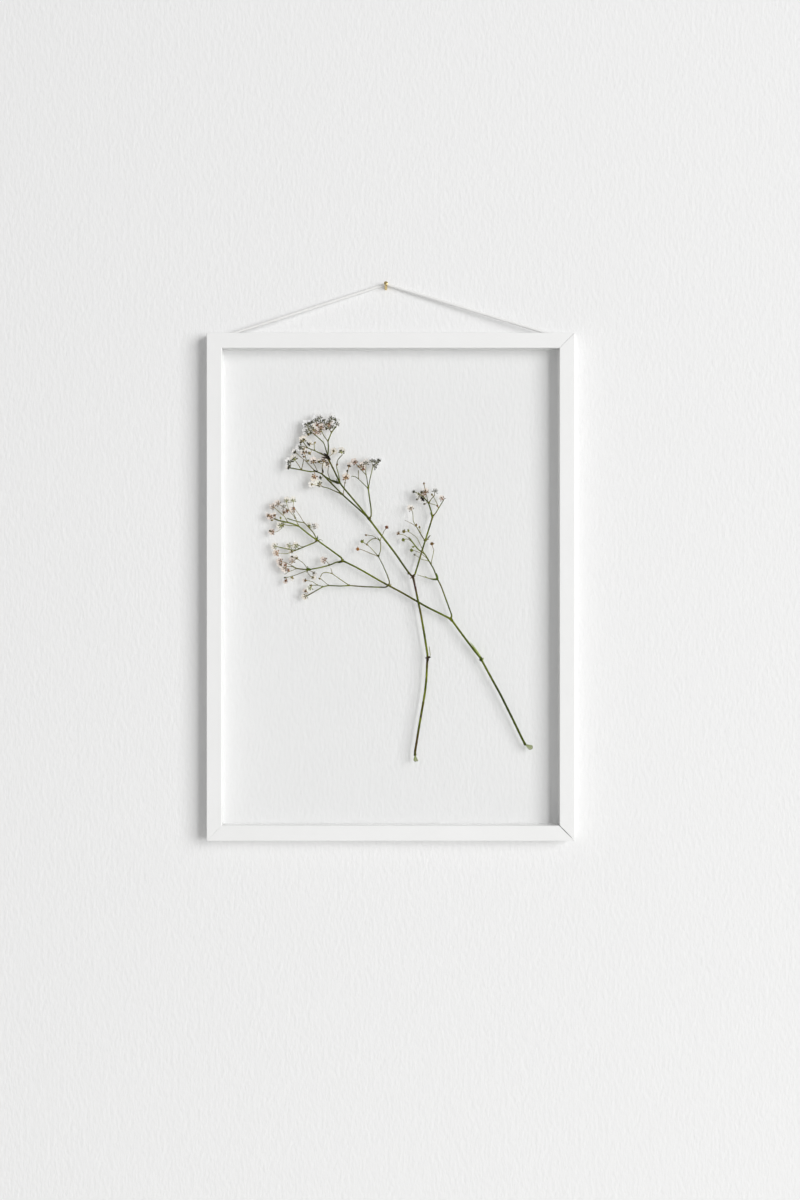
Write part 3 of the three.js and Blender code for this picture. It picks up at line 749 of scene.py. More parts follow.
@dataclass(frozen=True)
class FrameBars:
    """The four mitred bars, each extruded to an H with a groove outside and one inside.

    Args:
        names: The bars, anticlockwise.
        closed_by: How much nearer each bar's two ends come to their neighbours than in the solids.
        edge_radius: Radius that the drawn edges are softened to. The sawn edges stay sharp.
        steps: Facets round each softened edge.
        weld: Points nearer than this are one.
        flat_angle: Faces that meet at under this many degrees are one.
        sharp_angle: Edges over this many degrees are softened.
    """

    names: tuple[str, ...] = ("bar_bottom", "bar_right", "bar_top", "bar_left")
    closed_by: tuple[Point, ...] = ((0.17, 0.36), (0.36, 0.22), (0.22, 0.19), (0.19, 0.17))
    edge_radius: float = 0.12
    steps: int = 2
    weld: float = 0.001
    flat_angle: float = 1.0
    sharp_angle: float = 30.0

    def build(self) -> list[bpy.types.Object]:
        """Each bar with its edges softened and its coat on.

        Returns:
            The pieces that stand for the bars.
        """
        coat = PowderCoatedAluminium().build()
        return [self.build_bar(turn, coat) for turn in range(len(self.names))]

    def build_bar(self, turn: int, coat: bpy.types.Material) -> bpy.types.Object:
        """One bar.

        Args:
            turn: Its number, which is also how many quarter turns it is from the bottom.
            coat: Its material.

        Returns:
            The piece.
        """
        name = self.names[turn]
        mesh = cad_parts[name].data.copy()
        mesh.materials.clear()
        mesh.materials.append(coat)
        shell = bmesh.new()
        shell.from_mesh(mesh)
        bmesh.ops.remove_doubles(shell, verts=shell.verts, dist=self.weld * METRE)
        flat_angle = math.radians(self.flat_angle)
        bmesh.ops.dissolve_limit(shell, angle_limit=flat_angle, verts=shell.verts, edges=shell.edges)
        along = Vector((math.cos(turn * math.pi / 2), 0.0, math.sin(turn * math.pi / 2)))
        middle = sum((vert.co for vert in shell.verts), Vector()) / len(shell.verts)
        for vert in shell.verts:
            at_end = (vert.co - middle).dot(along) > 0
            vert.co += along * (1 if at_end else -1) * self.closed_by[turn][at_end] * METRE
        weights = shell.edges.layers.float.new("bevel_weight_edge")
        for edge in shell.edges:
            way = (edge.verts[1].co - edge.verts[0].co).normalized()
            sharp = edge.calc_face_angle(0.0) > math.radians(self.sharp_angle)
            edge[weights] = 1.0 if sharp and abs(way.dot(along)) > 0.999 else 0.0
        shell.to_mesh(mesh)
        shell.free()
        piece = in_scene(f"{name}_coated", mesh)
        soften = piece.modifiers.new("softened_edges", "BEVEL")
        soften.width = self.edge_radius * METRE
        soften.segments = self.steps
        soften.limit_method = "WEIGHT"
        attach(piece, BODY)
        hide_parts(name)
        return piece


@dataclass(frozen=True)
class Glazing:
    """The two panes that press the plants flat."""

    names: tuple[str, ...] = ("pane_front", "pane_back")

    def build(self) -> list[bpy.types.Object]:
        """Dresses the panes. Their shadow is left to the plants, since clear glass casts hardly any.

        Returns:
            The panes.
        """
        glass = FloatGlass().build()
        panes = [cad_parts[name] for name in self.names]
        for pane in panes:
            pane.data.materials.clear()
            pane.data.materials.append(glass)
            pane.visible_shadow = False
            pane.visible_diffuse = False
        return panes


@dataclass(frozen=True)
class Round:
    """Something that the band turns on: the middle of its turn, and the turn's radius."""

    x: float
    y: float
    z: float
    radius: float


@dataclass(frozen=True)
class ElasticBand:
    """The endless band, from the bars' outer groove up over the nail and back.

    Args:
        diameter: Its thickness.
        inset: From the frame's outer edge to its middle line in the groove.
        turn_radius: Radius of its middle line at the frame's corners.
        groove_y: Depth of the groove's middle.
        nail_y: Depth at which it lies on the nail.
        nail_tilt: The nail's slope in degrees.
        nail_turn: Radius of its middle line over the nail.
        step: Degrees from ring to ring in a turn.
        sides: Points in a ring.
        flash: Height of the seam that the mould left along it.
    """

    diameter: float = 1.8
    inset: float = 2.8
    turn_radius: float = 4.0
    groove_y: float = -5.6
    nail_y: float = -1.6
    nail_tilt: float = 20.0
    nail_turn: float = 2.0
    step: float = 6.0
    sides: int = 18
    flash: float = 0.03

    def rounds(self) -> list[Round]:
        """What it turns on, anticlockwise from the lower left.

        Returns:
            The four corners' rounds, with the nail's between the upper two.
        """
        inset = self.inset + self.turn_radius
        left, right = FRAME.left + inset, FRAME.right - inset
        bottom, top = FRAME.bottom + inset, FRAME.top - inset
        corners = [
            Round(x, self.groove_y, z, self.turn_radius)
            for x, z in ((left, bottom), (right, bottom), (right, top), (left, top))
        ]
        nail_z = -self.nail_y * math.tan(math.radians(self.nail_tilt))
        corners.insert(3, Round(0.0, self.nail_y, nail_z, self.nail_turn))
        return corners

    def route(self) -> list[Vector]:
        """Its middle line.

        Returns:
            The points of the ring, in millimetres, from the middle of its left side and not closed.
        """
        rounds = self.rounds()
        leaving = []
        for here, after in zip(rounds, rounds[1:] + rounds[:1]):
            across, up = after.x - here.x, after.z - here.z
            slack = math.acos((here.radius - after.radius) / math.hypot(across, up))
            leaving.append(math.atan2(up, across) - slack)
        points = []
        for i, spot in enumerate(rounds):
            turn = (leaving[i] - leaving[i - 1]) % math.tau
            steps = math.ceil(turn / math.radians(self.step))
            for k in range(steps + 1):
                angle = leaving[i - 1] + turn * k / steps
                reach = Vector((math.cos(angle), 0.0, math.sin(angle))) * spot.radius
                points.append(Vector((spot.x, spot.y, spot.z)) + reach)
        return [(points[-1] + points[0]) / 2, *points]

    def build(self) -> bpy.types.Object:
        """The band as a closed ring.

        Returns:
            The piece.
        """
        points = self.route()
        rings = [self.ring(points, i) for i in range(len(points))]
        piece = lofted("elastic_band_ring", rings, MouldedRubber().build(), closed=True)
        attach(piece, BODY)
        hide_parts("elastic_band")
        return piece

    def ring(self, points: Sequence[Vector], i: int) -> list[Vector]:
        """The ring of points round one point of the route.

        Args:
            points: The whole route.
            i: Number of the point.

        Returns:
            The ring's points.
        """
        heading = (points[(i + 1) % len(points)] - points[i - 1]).normalized()
        outward = heading.cross(deep(1.0)).normalized()
        upright = outward.cross(heading)
        ring = []
        for k in range(self.sides):
            turn = math.tau * k / self.sides
            radius = self.diameter / 2 + (self.flash if k == 0 else 0.0)
            offset = (outward * math.cos(turn) + upright * math.sin(turn)) * radius
            ring.append(points[i] + offset)
        return ring


@dataclass(frozen=True)
class Nail:
    """The brass nail: a pointed shank with grip rings under a domed head.

    Args:
        diameter: Of the shank.
        head_diameter: Of the head's rim.
        head_height: From under the head to its top.
        outside: From the wall to the top of the head, along the nail.
        inside: From the wall to the point.
        point: Length of the point.
        tilt: Its slope in degrees, head up.
        grip_rings: Rings pressed into the shank under the head.
        grip_step: From one to the next.
        grip_depth: How deep they are.
        sides: Points round it.
    """

    diameter: float = 1.6
    head_diameter: float = 2.6
    head_height: float = 0.9
    outside: float = 7.4
    inside: float = 13.0
    point: float = 2.4
    tilt: float = 20.0
    grip_rings: int = 4
    grip_step: float = 0.45
    grip_depth: float = 0.06
    sides: int = 32

    def profile(self) -> list[Point]:
        """Its outline.

        Returns:
            Each point's distance from its axis and its place along it, from the point to the head.
        """
        shank, rim = self.diameter / 2, self.head_diameter / 2
        under_head = self.outside - self.head_height
        outline = [(0.05, -self.inside), (shank * 0.62, self.point * 0.6 - self.inside)]
        outline += [(shank * 0.97, self.point - self.inside), (shank, self.point + 0.3 - self.inside)]
        first_ring = under_head - 1.0 - self.grip_rings * self.grip_step
        for k in range(self.grip_rings):
            at = first_ring + k * self.grip_step
            outline += [(shank, at), (shank - self.grip_depth, at + 0.1)]
            outline += [(shank - self.grip_depth, at + 0.2), (shank, at + 0.3)]
        outline += [(shank, under_head - 0.15), (shank + 0.15, under_head + 0.02)]
        outline += [(rim - 0.06, under_head + 0.18), (rim, under_head + 0.26), (rim, under_head + 0.42)]
        dome_from = under_head + 0.5
        dome = self.outside - dome_from
        for degrees in (12, 30, 50, 70, 84):
            angle = math.radians(degrees)
            outline.append((rim * 0.98 * math.cos(angle), dome_from + dome * math.sin(angle)))
        return outline

    def build(self) -> bpy.types.Object:
        """The nail, driven in at its slope.

        Returns:
            The piece.
        """
        slope = math.radians(self.tilt)
        along = Vector((0.0, -math.cos(slope), math.sin(slope)))
        across = Vector((1.0, 0.0, 0.0))
        third = along.cross(across)
        rings = []
        for radius, place in self.profile():
            ring = []
            for k in range(self.sides):
                turn = math.tau * k / self.sides
                offset = (across * math.cos(turn) + third * math.sin(turn)) * radius
                ring.append(along * place + offset)
            rings.append(ring)
        piece = lofted("nail_turned", rings, DrawnBrass().build(), closed=False)
        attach(piece, BODY)
        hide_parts("nail")
        return piece


class Skin(Enum):
    """How a twig is coloured: its green, its shade and its brown."""

    STEM = ("#6d7612", "#444e04", "#4e3b12")
    TWIG = ("#7c7c22", "#5b5816", "#735736")


STEM, TWIG = Skin


@dataclass(frozen=True)
class HeadForm:
    """How far a head's petals reach.

    Args:
        tip: From the petals' middle to their tips.
        beyond: From the calyx to the petals' middle, the way that the flower faces.
    """

    tip: float
    beyond: float


class HeadKind(Enum):
    """How far a flower head has opened."""

    STAR = HeadForm(2.5, 0.9)
    BLOOM = HeadForm(2.3, 0.3)
    CUP = HeadForm(1.9, 0.8)
    BUD = HeadForm(1.0, 0.0)


STAR, BLOOM, CUP, BUD = HeadKind


@dataclass(frozen=True)
class HeadColours:
    """A flower head's colours: its calyx's teeth, its base and its petals."""

    teeth: str
    base: str
    petal: str


class Tone(Enum):
    """A flower head's colouring, by what it looks like from a step away."""

    GREEN = HeadColours("#475210", "#969a48", "#f9f4ea")
    BROWN = HeadColours("#472c12", "#967848", "#f7ede4")
    DARK = HeadColours("#171506", "#625a32", "#fbf8f3")
    SLATE = HeadColours("#20261a", "#6a6c50", "#fdfcfa")
    OLIVE = HeadColours("#423a0c", "#948648", "#f9f2e6")
    ORANGE = HeadColours("#824a1c", "#b88e58", "#f8ebdd")
    PALE = HeadColours("#8a7c4a", "#beb080", "#fdfaf4")
    PINK = HeadColours("#744432", "#b49070", "#f8ebe3")
    RED = HeadColours("#552612", "#986c4a", "#f7eae0")
    GREY = HeadColours("#484740", "#8c8674", "#f9f4ee")


GREEN, BROWN, DARK, SLATE, OLIVE, ORANGE, PALE, PINK, RED, GREY = Tone


@dataclass(frozen=True)
class Twig:
    """A twig: its first and last width, its skin and its line, to the right and up from the middle."""

    width_from: float
    width_to: float
    skin: Skin
    line: tuple[Point, ...]


@dataclass(frozen=True)
class Head:
    """A flower head: where its calyx is, how far it has opened and its colouring."""

    x: float
    z: float
    kind: HeadKind
    tone: Tone


@dataclass(frozen=True)
class Branch:
    """One branch of a sprig.

    Args:
        node: Its solid's name.
        twigs: Its twigs, from the thickest on.
        heads: The flower heads that they carry.
        spread: How far the heads' petals show. At none, open flowers have closed to globes.
        tooth: Half the width of a calyx's tooth.
        light: How light its colours are.
    """

    node: str
    twigs: tuple[Twig, ...]
    heads: tuple[Head, ...] = ()
    spread: float = 1.0
    tooth: float = 0.26
    light: float = 1.0

    def straight(self) -> list[list[Vector]]:
        """Its twigs' lines as they are given, before they are rounded and sway."""
        return [[Vector((x, 0.0, z)) for x, z in twig.line] for twig in self.twigs]


@dataclass(frozen=True)
class Stain:
    """A place where a stem has browned, to the right and up from the middle, and how far it reaches."""

    x: float
    z: float
    reach: float
    colour: str


@dataclass(frozen=True)
class Bract:
    """A dried scale at a fork: its root and its tip, half its width, and its colour."""

    root: Point
    tip: Point
    half_width: float
    colour: str


@dataclass(frozen=True)
class CutEnd:
    """The frayed foot of a stem, which was cut at a joint: where it is and how wide it has splayed."""

    x: float
    z: float
    heading: Point
    width: float
    length: float


# The points of both sprigs were read by eye off the photograph in its pixels. A helper script turned
# them into millimetres from the middle of the glass, left out those that lie on a straight line, and
# printed these two lists and most of the bracts. Some values were changed after that.
SPRIG_A: tuple[Branch, ...] = (
    Branch(
        "sprig_a_stem",
        light=0.95,
        twigs=(
            Twig(1.5, 1.3, STEM, (
                (15.2, -105.4), (15.2, -103), (21.4, -65.5), (22.4, -56.7), (23.1, -43), (19, -17.5),
                (14.2, 5.2),
            )),
            Twig(0.5, 0.3, TWIG, ((24.8, -43.8), (24.6, -40.8), (24.0, -37.2))),
        ),
    ),
    Branch(
        "sprig_a_left_branch",
        light=0.62,
        twigs=(
            Twig(1.2, 1.2, STEM, ((13.6, 6.5), (11.6, 8.4), (3, 20.6), (-12.8, 41.5))),
            Twig(0.6, 0.2, STEM, ((11.6, 8.4), (10.1, 8.3))),
        ),
    ),
    Branch(
        "sprig_a_left_head",
        tooth=0.42,
        light=0.5,
        twigs=(
            Twig(1.1, 1.0, STEM, ((-13.6, 42.8), (-31.6, 64.8), (-39.4, 80.9))),
            Twig(1.0, 0.9, STEM, ((-13.6, 42.8), (-30.2, 57.8), (-42.8, 70.4))),
            Twig(0.6, 0.5, STEM, (
                (-31.6, 64.8), (-32.7, 71.5), (-33.9, 74.9), (-33.3, 79.1), (-30.2, 82.5),
            )),
            Twig(0.9, 0.7, STEM, (
                (-31.6, 64.8), (-35.8, 65.6), (-41.4, 69), (-42.8, 70.4), (-47, 72.4), (-49.8, 72),
                (-62.8, 74.3),
            )),
            Twig(0.6, 0.4, TWIG, ((-47, 72.4), (-52.6, 78), (-53.4, 82.1))),
            Twig(0.5, 0.4, TWIG, ((-55.7, 73.2), (-59.1, 78.2))),
            Twig(0.5, 0.4, TWIG, ((-55.7, 73.2), (-54.3, 79.9))),
            Twig(0.5, 0.4, TWIG, ((-42.8, 70.4), (-42.8, 75.7), (-41.7, 78.2))),
            Twig(0.7, 0.5, STEM, ((-30.2, 57.8), (-39.4, 61.7), (-42.8, 62.6))),
            Twig(0.5, 0.4, TWIG, ((-29.4, 57.8), (-28.7, 64.5))),
            Twig(0.4, 0.4, TWIG, ((-28.7, 64.5), (-27.1, 70.8))),
            Twig(0.8, 0.5, STEM, ((-39.4, 80.9), (-47.6, 85), (-51.8, 86.6), (-54.9, 91))),
            Twig(0.5, 0.4, TWIG, ((-51.8, 86.6), (-54.9, 88.1), (-56.1, 87.2))),
            Twig(0.4, 0.4, TWIG, ((-47.6, 85), (-47.8, 90.5))),
            Twig(0.4, 0.4, TWIG, ((-52.6, 78), (-58.9, 83.6))),
            Twig(0.4, 0.4, TWIG, ((-45.7, 71.8), (-48.3, 77.3))),
            Twig(0.4, 0.4, TWIG, ((-37.2, 64.5), (-39.4, 70.8), (-38.9, 74.4))),
        ),
        heads=(
            Head(-30.7, 84.4, STAR, GREEN), Head(-35.7, 84.6, BLOOM, OLIVE),
            Head(-33.5, 76.3, BUD, BROWN), Head(-63.4, 74.4, CUP, DARK),
            Head(-63.1, 78.1, STAR, SLATE), Head(-63.2, 75.7, BUD, SLATE),
            Head(-60.2, 79.8, STAR, GREEN), Head(-54, 84, STAR, BROWN), Head(-54.2, 81.3, BUD, BROWN),
            Head(-59.6, 84, CUP, DARK), Head(-56.5, 87.2, STAR, SLATE), Head(-54.7, 91.5, STAR, OLIVE),
            Head(-56.2, 90.1, BUD, DARK), Head(-48.2, 78.2, STAR, BROWN),
            Head(-41.6, 78.8, STAR, BROWN), Head(-44.5, 77.9, CUP, OLIVE),
            Head(-39.4, 76.7, STAR, BROWN), Head(-47.7, 68.7, STAR, ORANGE),
            Head(-43.6, 68.2, CUP, SLATE), Head(-44.6, 64.2, STAR, OLIVE), Head(-49, 64, BLOOM, PALE),
            Head(-28, 68, STAR, ORANGE), Head(-26.1, 75.2, CUP, BROWN), Head(-27.1, 72.3, BUD, DARK),
            Head(-51.6, 78.8, BUD, OLIVE), Head(-47.3, 90, BUD, PALE), Head(-50.5, 83.6, CUP, PALE),
            Head(-50.2, 89.3, BLOOM, PALE), Head(-54.2, 86.1, BLOOM, PALE),
        ),
    ),
    Branch(
        "sprig_a_crown",
        tooth=0.3,
        light=0.6,
        twigs=(
            Twig(0.8, 0.7, STEM, (
                (-39.3, 81.9), (-38.9, 87.5), (-39.2, 90.8), (-36.9, 96.4), (-34, 100.1),
            )),
            Twig(0.7, 0.6, STEM, ((-39.3, 81.9), (-41.7, 90), (-47.1, 94.8))),
            Twig(0.6, 0.5, TWIG, ((-39.2, 90.8), (-41.9, 94.4), (-43.5, 97.9))),
            Twig(0.5, 0.4, TWIG, ((-36.9, 96.4), (-41.2, 102.1))),
            Twig(0.4, 0.4, TWIG, ((-47.1, 94.8), (-50.3, 97.2), (-52, 100.6))),
            Twig(0.4, 0.4, TWIG, ((-43.5, 97.9), (-46.1, 101.8), (-46.8, 104))),
            Twig(0.4, 0.4, TWIG, ((-39.1, 99.6), (-36.8, 105))),
            Twig(0.4, 0.4, TWIG, ((-43.5, 97.9), (-43.3, 101.5), (-44, 104.6))),
        ),
        heads=(
            Head(-52.7, 101.4, STAR, SLATE), Head(-50.7, 101.9, CUP, SLATE),
            Head(-49.3, 99.9, STAR, SLATE), Head(-48.9, 102.9, CUP, SLATE),
            Head(-46.8, 104.1, STAR, SLATE), Head(-44.7, 105.4, STAR, SLATE),
            Head(-43.6, 103, STAR, SLATE), Head(-41.6, 103.8, CUP, SLATE),
            Head(-40.9, 101.6, STAR, DARK), Head(-36.9, 105.6, STAR, SLATE),
            Head(-34.8, 104.3, CUP, SLATE), Head(-38.1, 103.4, STAR, SLATE),
            Head(-33.6, 101.9, STAR, SLATE), Head(-48, 98.4, STAR, OLIVE),
            Head(-52.5, 97.1, STAR, SLATE), Head(-51.1, 95.4, CUP, OLIVE),
            Head(-49.6, 96.1, CUP, SLATE), Head(-46.6, 96.7, STAR, PINK),
            Head(-43.2, 99.5, STAR, PINK), Head(-44.3, 96.9, STAR, BROWN),
            Head(-36.6, 99.9, STAR, SLATE), Head(-38.3, 100.9, STAR, PINK),
            Head(-39.9, 98.9, CUP, DARK), Head(-45.6, 100.8, CUP, PINK),
        ),
    ),
    Branch(
        "sprig_a_middle_spray",
        tooth=0.38,
        light=0.8,
        spread=0.85,
        twigs=(
            Twig(0.9, 0.8, STEM, ((-12.2, 43.6), (-12.2, 49), (-14, 61.4))),
            Twig(0.6, 0.4, STEM, ((-14, 61.4), (-21.8, 68.8), (-24.6, 69.1))),
            Twig(0.6, 0.5, STEM, ((-14, 61.4), (-15.4, 69.8), (-18.2, 72.8))),
            Twig(0.6, 0.5, STEM, ((-14, 61.4), (-11.1, 75.2))),
            Twig(0.4, 0.4, TWIG, ((-18.2, 72.8), (-21.5, 76.5))),
            Twig(0.4, 0.4, TWIG, ((-15.4, 69.8), (-15.5, 74.8))),
            Twig(0.4, 0.4, TWIG, ((-20.2, 67.4), (-20.2, 72.9))),
        ),
        heads=(
            Head(-22.3, 77.7, STAR, RED), Head(-20.1, 75.1, BUD, BROWN),
            Head(-18.2, 75.4, STAR, BROWN), Head(-15.4, 77.3, STAR, GREY),
            Head(-17.2, 73.2, CUP, PINK), Head(-11.7, 78.8, STAR, SLATE),
            Head(-8.8, 77.9, STAR, SLATE), Head(-7.3, 78.8, CUP, SLATE), Head(-9.7, 75.1, STAR, SLATE),
        ),
    ),
    Branch(
        "sprig_a_right_branch",
        spread=0.6,
        twigs=(
            Twig(1.1, 1.0, STEM, ((15, 7.3), (26, 43.2))),
            Twig(0.6, 0.3, STEM, ((21.6, 28.6), (23.1, 29.5), (24.8, 32.2))),
            Twig(0.7, 0.5, STEM, ((21.6, 28.6), (15.9, 37.9))),
            Twig(0.4, 0.4, TWIG, ((15.9, 37.9), (14.1, 40.8), (13.9, 45.7), (13.1, 48))),
            Twig(0.4, 0.2, TWIG, ((15.9, 37.9), (8.7, 41.8))),
            Twig(0.4, 0.3, TWIG, ((18.6, 33.4), (18.1, 36.8))),
        ),
        heads=(
            Head(12.6, 48.8, STAR, BROWN), Head(16, 38.7, BUD, BROWN), Head(18, 37.2, BUD, OLIVE),
        ),
    ),
    Branch(
        "sprig_a_right_head",
        light=0.9,
        spread=0.3,
        twigs=(
            Twig(0.9, 0.8, STEM, ((26.2, 44.2), (23.6, 52.2), (19.9, 56.7))),
            Twig(0.7, 0.5, STEM, ((26.2, 44.2), (27.7, 45.5), (33.2, 54.5))),
            Twig(0.6, 0.5, TWIG, ((23.6, 52.2), (27.4, 57.2))),
            Twig(0.4, 0.4, TWIG, ((23.6, 52.2), (20.8, 63.8))),
            Twig(0.4, 0.3, TWIG, ((23.6, 52.2), (29, 50.8))),
            Twig(0.4, 0.3, TWIG, ((29.7, 49.1), (29.2, 51.1), (26.9, 56))),
            Twig(0.4, 0.4, TWIG, ((19.9, 56.7), (14.9, 59.4))),
        ),
        heads=(
            Head(19.6, 55.1, STAR, DARK), Head(17.9, 57.4, STAR, DARK), Head(19.4, 58.9, CUP, DARK),
            Head(21, 57.8, STAR, RED), Head(22, 59.5, STAR, BROWN), Head(14.7, 59.3, CUP, SLATE),
            Head(16.4, 54.6, BUD, GREY), Head(21.1, 51.8, BUD, GREY), Head(27.8, 59.8, STAR, SLATE),
            Head(25.8, 57.6, BUD, OLIVE), Head(20.8, 64.5, BUD, BROWN), Head(32, 55.2, STAR, RED),
            Head(29.2, 50.5, BUD, BROWN),
        ),
    ),
)

